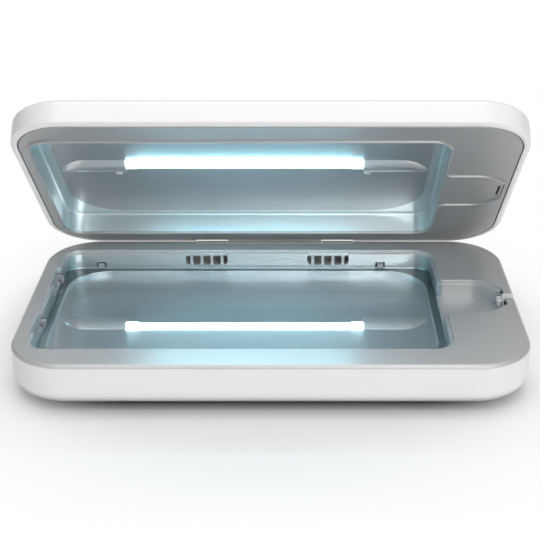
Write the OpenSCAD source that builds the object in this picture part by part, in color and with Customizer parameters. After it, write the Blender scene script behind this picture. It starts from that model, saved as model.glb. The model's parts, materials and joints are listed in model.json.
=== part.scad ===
// Ultraviolet sanitizer box for phones: a hinged clamshell with a lamp above and below.
// Millimetres. The origin is the middle of the face it rests on, +X to the right,
// +Y to the hinge and +Z up. Depths are measured down from the rim of the base,
// or up into the lid from the rim of the lid.

/* [Body] */
// Overall width of both halves, left to right
body_w = 226; // [204:1:250]
// Overall depth of both halves, front to hinge
body_d = 133; // [122:1:150]
// Corner radius of both halves in plan
corner_r = 25; // [22:1:28]
// Height of the base from its underside to its rim
base_h = 20.5; // [20:0.5:28]
// Height of the lid from its rim to its outer face
lid_h = 16.4; // [16:0.2:24]
// Round along the lower edge of the base
base_edge_r = 8; // [4:0.5:9]
// Height of the straight side of the lid, below its rounded edge
lid_side = 9.4; // [8.8:0.1:10]
// Round along the outer edge of the lid, where its crown begins
lid_edge_r = 2.6; // [2.6:0.1:3.6]
// Side wall of both outer shells
shell_t = 1.8; // [1.4:0.1:2.2]
// Bottom wall of the base shell
floor_t = 1.6; // [1.4:0.1:2]
// Outer wall of the lid shell
lid_skin_t = 1.4; // [1.2:0.1:1.6]
// How far the resting pad stands out of the base
foot_h = 1.2; // [0.8:0.1:3]
// How far the lid stands open as drawn
open_angle = 45; // [0:0.5:90]
// Gap between the closed rims
rim_gap = 0.4; // [0.3:0.1:0.8]

/* [Rims] */
// Thickness of the rim of each liner
flange_t = 1.6; // [1.4:0.1:2]
// Bevel round the rim of the base
rim_bevel = 1; // [0.6:0.1:1.2]
// Width of the white edge seen round the lid liner
lid_land = 2.9; // [2.6:0.1:3.4]
// Seam between the lid shell and the lid liner
seam = 0.5; // [0.3:0.1:0.8]
// Bevel round the white edge of the lid, across
lid_bevel_w = 1.4; // [0.8:0.1:1.8]
// Bevel round the white edge of the lid, in height
lid_bevel_h = 0.8; // [0.4:0.1:1.2]

/* [Chamber] */
// Rim left of the chamber
rim_left = 6.5; // [6.2:0.1:10]
// Rim in front of the chamber
rim_front = 15.4; // [14:0.1:18]
// Rim behind the chamber
rim_rear = 12.5; // [12.3:0.1:18]
// Corner radius of the chamber at the rim
chamber_r = 10; // [8:0.5:16]
// Width and depth of the step round the chamber
step = 1.5; // [1.2:0.1:1.8]
// Wall of the base liner below the step
liner_t = 1.5; // [1.2:0.1:1.8]
// Depth of the clear plate below the rim
plate_depth = 8.7; // [8.4:0.1:9.5]
// Thickness of the clear plate
plate_t = 1.4; // [1:0.1:1.6]
// Gap round the clear plate
plate_fit = 0.3; // [0.2:0.05:0.5]
// Width of the shelf that carries the clear plate
shelf_w = 3.5; // [2.5:0.5:6]
// Corner radius of the well under the clear plate
well_r = 20; // [12:1:26]
// Space between the clear plate and the lower reflector
well_gap = 2.3; // [2.3:0.1:2.6]

/* [Cable pocket] */
// Half width of the pocket at the rim
pocket_half = 17.1; // [14:0.1:20]
// Half width of the pocket at its narrow end
pocket_end_half = 8.8; // [7:0.1:9.5]
// Rim right of the pocket
rim_right = 4.4; // [4.2:0.1:6]
// Length of the pocket, from the chamber to its end
pocket_l = 28.6; // [26:0.1:36]
// Middle of the pocket, from the middle of the body
pocket_y = 1.2; // [-4:0.1:4]
// Radius where the pocket starts to narrow
taper_r = 14; // [8:1:20]
// Angle of the narrowing sides
taper_angle = 42; // [34:1:50]
// Depth of the pocket floor below the rim
pocket_depth = 8; // [7:0.1:8.2]
// Round at the pocket's mouth
mouth_r = 2; // [1:0.2:3]
// Width of the cable slot
slot_w = 4.6; // [4.2:0.1:5.4]
// Depth of the cable slot below the rim
slot_depth = 4.6; // [4:0.1:5.2]
// Slit between the lips of the cable guard
guard_slit = 2.2; // [1.6:0.1:2.8]

/* [Lid cavity] */
// Depth of the lid's wall
cavity_depth = 10.3; // [9.6:0.1:10.6]
// Wall of the lid liner
lid_liner_t = 1.2; // [1:0.1:1.4]
// Border between the lid's wall and its reflector
reflector_border = 5; // [4:0.5:8]
// Corner radius of the lid's reflector
reflector_r = 25; // [14:1:30]
// Thickness of both reflectors
reflector_t = 0.5; // [0.4:0.1:0.7]
// Height of the bead round the lid's cavity
bead_h = 1; // [0.6:0.1:1.1]

/* [Lamps] */
// Length of each lamp with its end caps
lamp_l = 110; // [90:1:120]
// Distance of the lamps to the right of the middle of the chamber
lamp_shift = 0.4; // [-3:0.1:3]
// Place of the lamps, from the middle of the body
lamp_y = -7.8; // [-12:0.1:2]
// Radius of a lamp tube
lamp_r = 2.9; // [2.4:0.1:2.9]
// Length of a lamp end cap
cap_l = 5.3; // [4:0.1:8]
// Radius of a lamp end cap
cap_r = 3.3; // [3.1:0.05:3.3]
// Gap between an end cap and the trough that holds it
cap_fit = 0.05; // [0.02:0.01:0.1]
// How far the upper lamp's axis lies below its reflector
upper_sink = 0.7; // [0.6:0.05:0.9]
// How far the lower lamp's axis lies below its reflector
lower_sink = 1.2; // [1.1:0.05:1.3]
// Wall of a lamp tube
tube_wall = 0.7; // [0.5:0.1:1]
// Space between a lamp end cover and the reflector's edge
cover_gap = 0.3; // [0.2:0.1:3]
// Distance of the lamp end covers behind the lamp's axis
cover_shift = 3.1; // [0:0.1:4]
// Width of a lamp end cover
cover_w = 12.4; // [10:0.2:14]
// Height of a lamp end cover
cover_h = 1.9; // [1.4:0.1:2]
// Length of the rounded nose of a lamp end cover
cover_nose = 13.8; // [10:0.1:16]

/* [Hinge] */
// Height of the hinge axis below the rim of the base
hinge_drop = 2.2; // [2:0.1:2.6]
// Distance of the hinge axis from the rear face
hinge_in = 1.5; // [1:0.1:2]
// Radius of the hinge knuckles and of the barrel
knuckle_r = 2.4; // [2.2:0.05:2.5]
// Half length of the lid's hinge barrel
barrel_half = 24; // [18:0.5:26]
// Length of a base knuckle
knuckle_l = 16; // [10:0.5:17]
// Gap at the ends of the barrel
knuckle_gap = 0.3; // [0.2:0.05:0.5]
// Radius of the hinge pin
pin_r = 1; // [0.8:0.05:1.1]
// Running clearance of the hinge pin
pin_fit = 0.04; // [0.02:0.01:0.08]
// Outer radius of a friction sleeve
sleeve_r = 1.6; // [1.4:0.05:1.7]
// Length of a friction sleeve
sleeve_l = 9; // [6:0.5:12]

/* [Vents] */
// Width of a rear vent
rear_vent_w = 21; // [16:0.5:24]
// Middle of the left one of the rear vents, from the middle of the chamber
rear_vent_shift1 = -21.1; // [-40:0.1:-16]
// Middle of the right one of the rear vents, from the middle of the chamber
rear_vent_shift2 = 40.4; // [34:0.1:48]
// Length of a side vent
side_vent_w = 22; // [18:0.5:26]
// Distance of the side vents from the middle of the chamber
side_vent_y = 24.1; // [20:0.1:28]
// Depth of a vent's lower edge below the rim
vent_bottom = 7.4; // [6.6:0.1:7.6]
// Radius of a vent's lower corners
vent_r = 1.9; // [1:0.1:2.4]
// Width of a vent bar
vent_bar = 1.45; // [1:0.05:2]
// Distance from bar to bar
vent_pitch = 5.12; // [4:0.02:5.6]
// Thickness of a vent grille
grille_t = 1.2; // [1:0.1:1.4]

/* [Clips, feet and fasteners] */
// Width of a slot for a plate clip
clip_slot_w = 4.8; // [4.2:0.1:5.6]
// Width of a plate clip
clip_w = 3.1; // [2.4:0.1:3.6]
// Height of a clip slot above the clear plate
clip_slot_h = 2.7; // [2.4:0.1:2.8]
// Distance of the left clip slot from the chamber's left wall
clip_left_in = 18.7; // [16:0.1:24]
// Distance of the right clip slot from the chamber's right wall
clip_right_in = 26.3; // [20:0.1:28]
// Length of a lamp clip
lamp_clip_l = 3; // [2:0.2:5]
// Width of the resting pad
pad_w = 150; // [100:2:160]
// Depth of the resting pad
pad_d = 76; // [50:2:84]
// Thickness of the resting pad
pad_t = 1.8; // [1.6:0.1:2]
// Distance of the screws from the left and right faces
screw_side = 27; // [26:0.5:32]
// Distance of the screws from the front and rear faces
screw_in = 7.3; // [7:0.1:8]
// Radius of a screw's shank
screw_r = 1.2; // [1:0.1:1.3]
// Radius of a screw's head
screw_head_r = 2.3; // [2:0.1:2.4]
// Height of a screw's head
screw_head_h = 1.4; // [1:0.1:1.8]
// Distance of the closing magnets from the left and right faces
magnet_side = 53; // [46:1:60]
// Radius of a magnet
magnet_r = 2.5; // [2:0.1:2.5]
// Thickness of a magnet
magnet_t = 2; // [1.5:0.1:2.5]

/* [Electronics] */
// Width of a circuit board
board_w = 22; // [18:0.5:23]
// Distance of the control board from the rear face
control_in = 19.6; // [16:0.2:24]
// Distance of the lamp driver board from the front face
driver_in = 16.2; // [14:0.2:22]
// Space between a circuit board and the cable pocket
board_gap = 2; // [1.6:0.1:3]
// Thickness of a circuit board
board_t = 1.6; // [1.2:0.1:1.8]
// Height of the posts under a circuit board
post_h = 3; // [2.5:0.1:4]
// Distance of the outermost ports from the left and right faces
port_side = 33.5; // [33:0.5:36]
// Space between the ports on the rear face
port_gap = 1.2; // [0.6:0.1:1.6]
// Radius of the power inlet's hole
inlet_r = 2.75; // [2.4:0.05:3]
// Radius of the status light
status_r = 2.5; // [1.5:0.1:4]
// Place of the status light in the lid, from the middle of the body
status_y = 37; // [32:0.5:38]

/* [Hidden] */
$fn = 72;
eps = 0.01;
big = 400;
rim_z = foot_h + base_h;
skirt_depth = step + 1.4;
chamber_w = body_w - rim_left - rim_right - pocket_l;
chamber_x0 = -body_w / 2 + rim_left;
chamber_x1 = chamber_x0 + chamber_w;
chamber_y0 = -body_d / 2 + rim_front;
chamber_y1 = body_d / 2 - rim_rear;
chamber_mid_x = (chamber_x0 + chamber_x1) / 2;
chamber_mid_y = (chamber_y0 + chamber_y1) / 2;
well_depth = plate_depth + plate_t + well_gap;
rear_vent_x1 = chamber_mid_x + rear_vent_shift1;
rear_vent_x2 = chamber_mid_x + rear_vent_shift2;
pocket_x1 = body_w / 2 - rim_right;
inner_x = body_w / 2 - shell_t;
inner_y = body_d / 2 - shell_t;
hinge_y = body_d / 2 - hinge_in;
hinge_z = rim_z - hinge_drop;
lid_rise = rim_gap + hinge_drop;
lid_axis_z = -lid_rise;
lid_ledge = flange_t + 1.4;
notch_y = hinge_y - knuckle_r - 0.4;
knuckle_end = barrel_half + knuckle_gap + knuckle_l;
knuckle_mid = knuckle_end - knuckle_l / 2;
lid_panel_depth = cavity_depth - reflector_t;
lamp_x = chamber_mid_x + lamp_shift;
trough_r = cap_r + cap_fit;
cover_start = lamp_l / 2 + 0.4;
screw_x = body_w / 2 - screw_side;
screw_y = body_d / 2 - screw_in;
boss_r = 3.4;
boss_split = 9;
board_x = chamber_x1 + liner_t + 1.2 + board_w / 2;
board_z = foot_h + floor_t + post_h;
control_l = body_d / 2 - control_in - pocket_y - pocket_half - liner_t - board_gap;
control_y = body_d / 2 - control_in - control_l / 2;
driver_l = body_d / 2 - driver_in + pocket_y - pocket_half - liner_t - board_gap;
driver_y = driver_in + driver_l / 2 - body_d / 2;
magnet_x = body_w / 2 - magnet_side;
lid_shelf = lid_land + 2.6;
magnet_y = (lid_shelf + rim_front - liner_t) / 2 - body_d / 2;
port_z = rim_z - flange_t - 5.1;
port_a_w = 14.6;
port_c_w = 10.4;
inlet_w = 9.4;
port_a_x = -body_w / 2 + port_side + port_a_w / 2;
port_c_x = port_a_x + port_a_w / 2 + port_gap + port_c_w / 2;
inlet_x = body_w / 2 - port_side - inlet_w / 2;
port_a_hole = [13.4, 5.4];
port_fit = 0.15;
slot_block_x0 = pocket_x1 - 9;
clip_spots = [chamber_x0 + clip_left_in, chamber_x1 - clip_right_in];
side_clip_shift = side_vent_w / 2 - vent_r - 0.2;
lamp_clip_x = [lamp_x - cover_start - 4, lamp_x + cover_start + 2.1];

white = [0.93, 0.92, 0.91];
silver = [0.62, 0.63, 0.65];
bright = [0.80, 0.82, 0.85];
dark = [0.08, 0.08, 0.09];
steel = [0.70, 0.70, 0.72];
glass = [0.75, 0.88, 0.92, 0.4];
board_green = [0.10, 0.30, 0.18];

// Rounded rectangle in plan, centred
module plan_2d(w, d, r) {
  square([w - 2 * r, d], center = true);
  square([w, d - 2 * r], center = true);
  for (x = [-1, 1]) for (y = [-1, 1])
    translate([x * (w / 2 - r), y * (d / 2 - r)]) circle(r);
}

// Edge of a slab: a bevel at the bottom and a round at the top
module edge_2d(r, h, bevel_w, bevel_h, edge) {
  polygon([[0, 0], [r - bevel_w, 0], [r, bevel_h], [r, h - edge], [0, h - edge]]);
  translate([0, h - edge]) square([r - edge, edge]);
  intersection() {
    translate([r - edge, h - edge]) circle(edge);
    translate([r - edge, h - edge]) square(edge);
  }
}

// Edge of the lid: a bevel, a straight side, a round and a crown that rises in four bends
module crown_2d(r, h, bevel_w, bevel_h, edge, side) {
  rise = h - side;
  crown = ((r - edge) * (r - edge) + rise * rise - edge * edge) / (2 * (rise - edge));
  slope = asin((r - edge) / (crown - edge));
  bends = [for (k = [4:-1:1]) [crown * sin(slope * k / 4), h - crown + crown * cos(slope * k / 4)]];
  polygon([[0, 0], [r - bevel_w, 0], [r, bevel_h], [r, side], [0, side]]);
  intersection() {
    translate([r - edge, side]) circle(edge);
    translate([r - edge, side])
      polygon([[0, 0], [2 * edge, 0], [2 * edge, 2 * edge], [2 * edge * sin(slope), 2 * edge * cos(slope)]]);
  }
  polygon(concat([[0, side], [r - edge, side]], bends, [[1.5, h], [0, h]]));
}

// Solid with a rounded rectangle for its plan and the given edge all round
module edged(w, d, r, h) {
  cx = w / 2 - r;
  cy = d / 2 - r;
  translate([-cx, -cy, 0]) cube([2 * cx, 2 * cy, h]);
  for (a = [0, 180]) rotate(a) {
    translate([cx, 0, 0]) rotate([90, 0, 0]) linear_extrude(2 * cy, center = true) children();
    rotate(90) translate([cy, 0, 0]) rotate([90, 0, 0]) linear_extrude(2 * cx, center = true) children();
    translate([cx, cy, 0]) rotate_extrude(angle = 90) children();
    translate([-cx, cy, 0]) rotate(90) rotate_extrude(angle = 90) children();
  }
}

// Flat slab with edge_2d all round
module slab(w, d, r, h, bevel_w, bevel_h, edge) {
  edged(w, d, r, h) edge_2d(r, h, bevel_w, bevel_h, edge);
}

// Low dome with crown_2d all round
module dome(w, d, r, h, bevel_w, bevel_h, edge, side) {
  edged(w, d, r, h) crown_2d(r, h, bevel_w, bevel_h, edge, side);
}

// Plan of the chamber, drawn in by inset
module chamber_2d(inset) {
  translate([chamber_mid_x, chamber_mid_y])
    plan_2d(chamber_w - 2 * inset, chamber_y1 - chamber_y0 - 2 * inset, chamber_r - inset);
}

// Upper half outline of the cable pocket, drawn in by inset
function pocket_side(inset) =
  let (r = taper_r,
       arc_drop = r * (1 - cos(taper_angle)),
       line_drop = pocket_half - pocket_end_half - arc_drop,
       bend_x = pocket_x1 - line_drop / tan(taper_angle) - r * sin(taper_angle))
  concat(
    [for (i = [0:6]) let (a = taper_angle * i / 6)
      [bend_x + (r - inset) * sin(a), pocket_half - r + (r - inset) * cos(a)]],
    [[pocket_x1 - inset, pocket_end_half - inset * (1 / cos(taper_angle) - tan(taper_angle))]]);

// Plan of the cable pocket, drawn in by inset
module pocket_2d(inset) {
  side = pocket_side(inset);
  last = len(side) - 1;
  start_x = chamber_x1 - chamber_r;
  translate([0, pocket_y]) polygon(concat(
    [[start_x, pocket_half - inset]], side,
    [for (i = [last:-1:0]) [side[i][0], -side[i][1]]],
    [[start_x, inset - pocket_half]]));
}

// Rounds where the pocket meets the chamber
module mouth_2d(inset) {
  r = mouth_r + inset;
  for (s = [-1, 1]) translate([chamber_x1 - inset, pocket_y + s * (pocket_half - inset)])
    difference() {
      translate([-eps, s > 0 ? -eps : -r]) square([r + eps, r + eps]);
      translate([r, s * r]) circle(r);
    }
}

// Plan of the whole opening, drawn in by inset
module opening_2d(inset) {
  chamber_2d(inset);
  pocket_2d(inset);
  mouth_2d(inset);
}

// A plan raised between two depths below the rim of the base
module between(top, bottom) {
  translate([0, 0, rim_z - bottom]) linear_extrude(bottom - top) children();
}

// The lid's parts are drawn closed, with their rim at height zero, then opened
module opened() {
  translate([0, hinge_y, hinge_z]) rotate([-open_angle, 0, 0])
    translate([0, -hinge_y, lid_rise]) children();
}

// Depth of a front view outline along Y
module along_y(y0, y1) {
  translate([0, y1, 0]) rotate([90, 0, 0]) linear_extrude(y1 - y0) children();
}

// Round bar along X
module bar_x(x0, x1, r) {
  translate([x0, 0, 0]) rotate([0, 90, 0]) cylinder(r = r, h = x1 - x0);
}

// Front view of a vent recess, hanging from height zero
module vent_2d(w, bottom) {
  translate([-w / 2, -bottom + vent_r]) square([w, bottom - vent_r]);
  translate([-w / 2 + vent_r, -bottom]) square([w - 2 * vent_r, vent_r + eps]);
  for (s = [-1, 1]) translate([s * (w / 2 - vent_r), -bottom + vent_r]) circle(vent_r);
}

// Recess for one vent, cut outwards through the liner's wall
module vent_cut(w) {
  along_y(-step - 0.5, 0) translate([0, rim_z]) vent_2d(w, vent_bottom);
  along_y(-step - 0.5, 0.8) intersection() {
    translate([0, rim_z]) vent_2d(w, vent_bottom);
    translate([-w / 2, rim_z - skirt_depth - 20]) square([w, 20]);
  }
}

// Grille of one vent: a plate with windows between upright bars
module vent_grille(w, solid_end) {
  margin = 1.4;
  top = skirt_depth;
  window_top = top + 0.3;
  bars = [for (i = [-4:4]) if (i % 2 != 0 && abs(i) * vent_pitch / 2 < w / 2 - 1.2) i * vent_pitch / 2];
  difference() {
    translate([-w / 2 - margin, 0, rim_z - vent_bottom - margin])
      cube([w + 2 * margin, grille_t, vent_bottom + margin - top]);
    difference() {
      along_y(-1, grille_t + 1) intersection() {
        translate([0, rim_z]) vent_2d(w, vent_bottom);
        translate([-w / 2 - 1, rim_z - vent_bottom - 1])
          square([w + 1 - solid_end, vent_bottom + 1 - window_top]);
      }
      for (x = bars) translate([x - vent_bar / 2, -2, rim_z - vent_bottom - 2])
        cube([vent_bar, grille_t + 4, vent_bottom + 4]);
    }
  }
}

// Places a vent at the rear wall or at the left wall of the chamber
module at_rear(x) { translate([x, chamber_y1, 0]) children(); }
module at_left(y) { translate([chamber_x0, y, 0]) rotate(90) children(); }

// Everything that happens at each base screw
module at_screws() {
  for (x = [-1, 1]) for (y = [-1, 1]) translate([x * screw_x, y * screw_y, 0]) children();
}

// Space swept by the lid's hinge barrel, open to the rear
module barrel_space() {
  half = barrel_half + knuckle_gap;
  translate([-half, notch_y, hinge_z - knuckle_r - 0.5]) cube([2 * half, big, big]);
}

// White outer shell of the base with the two outer hinge knuckles
module base_shell() color(white) {
  wall_h = base_h - flange_t;
  difference() {
    union() {
      difference() {
        translate([0, 0, foot_h + wall_h]) rotate([180, 0, 0])
          slab(body_w, body_d, corner_r, wall_h, 0, 0, base_edge_r);
        translate([0, 0, foot_h + floor_t + wall_h]) rotate([180, 0, 0])
          slab(2 * inner_x, 2 * inner_y, corner_r - shell_t, wall_h, 0, 0, base_edge_r - shell_t);
      }
      translate([-knuckle_end - 1.2, notch_y - 1.2, hinge_z - knuckle_r - 2])
        cube([2 * knuckle_end + 2.4, body_d / 2 - notch_y + 1.2, hinge_drop - flange_t + knuckle_r + 2]);
      at_screws() translate([0, 0, foot_h + floor_t - 0.5])
        cylinder(r = boss_r, h = base_h - floor_t - boss_split + 0.5);
      for (b = [[control_y, control_l], [driver_y, driver_l]]) for (s = [-1, 1])
        translate([board_x, b[0] + s * (b[1] / 2 - 3), foot_h + floor_t - 0.5])
          cylinder(r = 2, h = post_h + 0.5);
    }
    barrel_space();
    for (s = [-1, 1]) translate([s * knuckle_mid, notch_y + big / 2, hinge_z + big / 2])
      cube([knuckle_l, big, big], center = true);
    hinge_hole();
    translate([0, 0, -1]) linear_extrude(1 + pad_t) plan_2d(pad_w + 0.4, pad_d + 0.4, 12.2);
    at_screws() {
      cylinder(r = screw_head_r + 0.3, h = foot_h + screw_head_h + 0.6);
      cylinder(r = screw_r + 0.2, h = base_h);
    }
    cable_slot();
    translate([inlet_x, 0, port_z]) along_y(inner_y - 1, big) circle(4);
    translate([port_a_x, 0, port_z]) along_y(inner_y - 1, big) square(port_a_hole, center = true);
    translate([port_c_x, 0, port_z]) along_y(inner_y - 1, big) port_c_2d(0.2);
  }
  difference() {
    for (s = [-1, 1]) translate([0, hinge_y, hinge_z])
      bar_x(s > 0 ? barrel_half + knuckle_gap : -knuckle_end,
            s > 0 ? knuckle_end : -barrel_half - knuckle_gap, knuckle_r);
    hinge_hole();
  }
}

// Hole of the hinge pin through the base knuckles
module hinge_hole() {
  translate([0, hinge_y, hinge_z]) bar_x(-knuckle_end - 2, knuckle_end + 2, pin_r + 0.02);
}

// Slot that lets a cable out of the pocket to the right
module cable_slot() {
  translate([pocket_x1 - step - 2, pocket_y - slot_w / 2, rim_z - slot_depth])
    cube([big, slot_w, big]);
}

// Front view of the small charging port, grown by gap
module port_c_2d(gap) {
  square([5.8 + 2 * gap, 3.2 + 2 * gap], center = true);
  for (s = [-1, 1]) translate([s * 2.9, 0]) circle(1.6 + gap);
}

// Silver liner of the base: rim, step, chamber walls, plate shelf and cable pocket
module base_liner() color(silver) {
  difference() {
    union() {
      translate([0, 0, rim_z]) rotate([180, 0, 0])
        slab(body_w, body_d, corner_r, flange_t, rim_bevel, rim_bevel, 0.02);
      between(flange_t - 0.5, skirt_depth) opening_2d(-liner_t);
      between(flange_t - 0.5, well_depth) chamber_2d(step - liner_t);
      between(flange_t - 0.5, pocket_depth + liner_t) pocket_2d(step - liner_t);
      between(flange_t - 0.5, skirt_depth + 5) translate([slot_block_x0, pocket_y - pocket_end_half - 1.2])
        square([inner_x - 0.6 - slot_block_x0, 2 * pocket_end_half + 2.4]);
      at_screws() translate([0, 0, rim_z - boss_split]) cylinder(r = boss_r, h = boss_split - 0.5);
    }
    between(-1, step) opening_2d(0);
    between(-1, plate_depth + plate_t) chamber_2d(step);
    between(-1, pocket_depth) pocket_2d(step);
    between(-1, step + 3) mouth_2d(step);
    between(0, well_depth + 1) translate([chamber_mid_x, chamber_mid_y])
      plan_2d(chamber_w - 2 * (step + shelf_w), chamber_y1 - chamber_y0 - 2 * (step + shelf_w), well_r);
    at_rear(rear_vent_x1) vent_cut(rear_vent_w);
    at_rear(rear_vent_x2) vent_cut(rear_vent_w);
    for (s = [-1, 1]) at_left(chamber_mid_y + s * side_vent_y) vent_cut(side_vent_w);
    for (p = clip_spots) translate([p - clip_slot_w / 2, chamber_y1 - step - 1, rim_z - plate_depth])
      cube([clip_slot_w, step + 2, clip_slot_h]);
    cable_slot();
    translate([pocket_x1 - step + 0.5, pocket_y - pocket_end_half + 0.8, rim_z - 3])
      cube([step - 0.6, 2 * pocket_end_half - 1.6, 4]);
    translate([-knuckle_end - 0.2, notch_y, rim_z - flange_t - 5]) cube([2 * knuckle_end + 0.4, big, 10]);
    at_screws() translate([0, 0, rim_z - boss_split - 1])
      cylinder(r = screw_r + 0.03, h = boss_split - flange_t);
    for (s = [-1, 1]) translate([s * magnet_x, magnet_y, rim_z - flange_t - 1])
      cylinder(r = magnet_r, h = 1.6);
  }
}

// Bright panel with a half round trough for a lamp, its face at height zero
module reflector_panel(w, d, r, sink) {
  y = lamp_y - chamber_mid_y;
  x = lamp_shift;
  difference() {
    union() {
      translate([0, 0, -reflector_t]) linear_extrude(reflector_t) plan_2d(w, d, r);
      translate([x, y, -sink]) bar_x(-lamp_l / 2 - 1, lamp_l / 2 + 1, trough_r + reflector_t);
      translate([x - lamp_l / 2 - 1, y - trough_r - reflector_t, -sink])
        cube([lamp_l + 2, 2 * (trough_r + reflector_t), sink]);
    }
    translate([x, y, -sink]) bar_x(-lamp_l / 2 - 0.3, lamp_l / 2 + 0.3, trough_r);
    translate([x - lamp_l / 2 - 0.3, y - trough_r, -sink])
      cube([lamp_l + 0.6, 2 * trough_r, sink + 1]);
    translate([-big / 2, -big / 2, 0]) cube([big, big, 20]);
  }
}

// Lower reflector under the shelf of the base liner
module base_reflector() color(bright) {
  w = chamber_w - 2 * step - 2;
  d = chamber_y1 - chamber_y0 - 2 * step - 2;
  translate([chamber_mid_x, chamber_mid_y, rim_z - well_depth])
    reflector_panel(w, d, chamber_r - step - 1, lower_sink);
}

// Clear quartz plate that the phone lies on
module clear_plate() color(glass) {
  between(plate_depth, plate_depth + plate_t) chamber_2d(step + plate_fit);
}

// Glass tube of a lamp, its axis on X through the origin
module lamp_tube() {
  half = lamp_l / 2 - cap_l + 1.5;
  difference() {
    bar_x(-half, half, lamp_r);
    bar_x(-half - 1, half + 1, lamp_r - tube_wall);
  }
}

// End caps of a lamp, each with a socket for the tube
module lamp_caps() {
  for (s = [0, 180]) rotate(s) difference() {
    translate([lamp_l / 2 - cap_l, 0, 0]) bar_x(0, cap_l, cap_r);
    translate([lamp_l / 2 - cap_l, 0, 0]) bar_x(-1, 1.5, lamp_r);
  }
}

// Lamp place in the base and in the lid
module at_lower_lamp() { translate([lamp_x, lamp_y, rim_z - well_depth - lower_sink]) children(); }
module at_upper_lamp() { opened() translate([lamp_x, lamp_y, lid_panel_depth + upper_sink]) children(); }

module lower_lamp_tube() color(glass) { at_lower_lamp() lamp_tube(); }
module lower_lamp_caps() color(white) { at_lower_lamp() lamp_caps(); }
module upper_lamp_tube() color(glass) { at_upper_lamp() lamp_tube(); }
module upper_lamp_caps() color(white) { at_upper_lamp() lamp_caps(); }

// Low crowned cover beside a lamp, straight behind and drawn to a point in front.
// Each station is a flat round segment, shrunk by k towards the straight side.
module lamp_cover(l) {
  rows = 10;
  steps = 12;
  r = (cover_w * cover_w / 4 + cover_h * cover_h) / (2 * cover_h);
  half = asin(cover_w / 2 / r);
  stations = concat([[0, 1]],
    [for (i = [0:rows - 1]) [l - cover_nose * (1 - sin(90 * i / rows)), pow(cos(90 * i / rows), 1.3)]]);
  last = len(stations) - 1;
  n = steps + 1;
  tip = (last + 1) * n;
  points = concat(
    [for (s = stations) for (j = [0:steps]) let (a = half * (2 * j / steps - 1))
      [s[0], cover_w / 2 - s[1] * (cover_w / 2 + r * sin(a)), s[1] * r * (cos(a) - cos(half))]],
    [[l, cover_w / 2, 0]]);
  crown = [for (i = [0:last - 1]) for (j = [0:steps - 1]) let (a = i * n + j)
    each [[a, a + n, a + n + 1], [a, a + n + 1, a + 1]]];
  under = [for (i = [0:last - 1]) let (a = i * n, b = a + steps)
    each [[a, b, b + n], [a, b + n, a + n]]];
  nose = [for (j = [0:steps - 1]) [last * n + j, tip, last * n + j + 1]];
  polyhedron(points, concat(crown, under, nose,
    [[last * n, last * n + steps, tip]], [[for (j = [0:steps]) j]]));
}

// Cover at the left end (-1) or the right end (1) of a lamp
module end_cover(s) {
  l = chamber_w / 2 - step - reflector_border - s * lamp_shift - cover_start - cover_gap;
  translate([lamp_x + s * cover_start, lamp_y + cover_shift, 0])
    mirror([s > 0 ? 0 : 1, 0, 0]) lamp_cover(l);
}

module at_lower_panel() { translate([0, 0, rim_z - well_depth]) children(); }
module at_upper_panel() { opened() translate([0, 0, lid_panel_depth]) mirror([0, 0, 1]) children(); }

module lower_cover_left() color(silver) { at_lower_panel() end_cover(-1); }
module lower_cover_right() color(silver) { at_lower_panel() end_cover(1); }
module lamp_cover_left() color(silver) { at_upper_panel() end_cover(-1); }
module lamp_cover_right() color(silver) { at_upper_panel() end_cover(1); }

module rear_vent_left() color(silver) { at_rear(rear_vent_x1) vent_grille(rear_vent_w, 0); }
module rear_vent_right() color(silver) { at_rear(rear_vent_x2) vent_grille(rear_vent_w, 0); }
module side_vent_front() color(silver) { at_left(chamber_mid_y - side_vent_y) vent_grille(side_vent_w, 4.4); }
module side_vent_rear() color(silver) { at_left(chamber_mid_y + side_vent_y) vent_grille(side_vent_w, 4.4); }

// Soft clips that hold the clear plate down, two behind it and two at its left
module plate_clips() color(white) {
  nub_h = clip_slot_h - 0.6;
  for (p = clip_spots) translate([p, chamber_y1, rim_z - plate_depth]) {
    translate([-clip_w / 2, -step - 0.9, 0]) cube([clip_w, step + 0.9 + 1, nub_h]);
    translate([-clip_w / 2, 0, -1.6]) cube([clip_w, 1, nub_h + 3.2]);
  }
  for (s = [-1, 1]) at_left(chamber_mid_y + s * side_vent_y) {
    translate([side_clip_shift - 1, -step - 0.9, rim_z - plate_depth])
      cube([2, 0.9, plate_depth - vent_bottom + nub_h]);
    translate([side_clip_shift - 1, -step, rim_z - vent_bottom + 0.4]) cube([2, step, nub_h - 0.4]);
  }
}

// Soft clips behind the ends of the upper lamp
module lamp_clips() color(white) {
  at_upper_panel() for (x = lamp_clip_x)
    translate([x - lamp_clip_l / 2, lamp_y + cover_shift + cover_w / 2, 0]) cube([lamp_clip_l, 1, 0.9]);
}

// Soft white guard that lines the cable slot
module cable_guard() color(white) {
  x0 = pocket_x1 - step - 1.9;
  fit = 0.05;
  difference() {
    translate([x0, pocket_y - slot_w / 2 + fit, rim_z - slot_depth])
      cube([body_w / 2 - 0.6 - x0, slot_w - 2 * fit, slot_depth - 0.2]);
    translate([x0 + 2.4, pocket_y - guard_slit / 2, rim_z - slot_depth + 1]) cube([big, guard_slit, big]);
    translate([x0 - 1, pocket_y - slot_w, rim_z - step]) cube([3.4, 2 * slot_w, big]);
    translate([x0 - 1, pocket_y - guard_slit / 2, rim_z - step - 1.2]) cube([big, guard_slit, big]);
  }
}

// Steel pin on the hinge axis, held in the base knuckles
module hinge_pin() color(steel) {
  translate([0, hinge_y, hinge_z]) bar_x(-knuckle_end + 0.4, knuckle_end - 0.4, pin_r);
}

// Circuit board with its larger components, standing on two posts
module board(y, l) {
  translate([board_x - board_w / 2, y - l / 2, board_z]) cube([board_w, l, board_t]);
}

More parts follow.
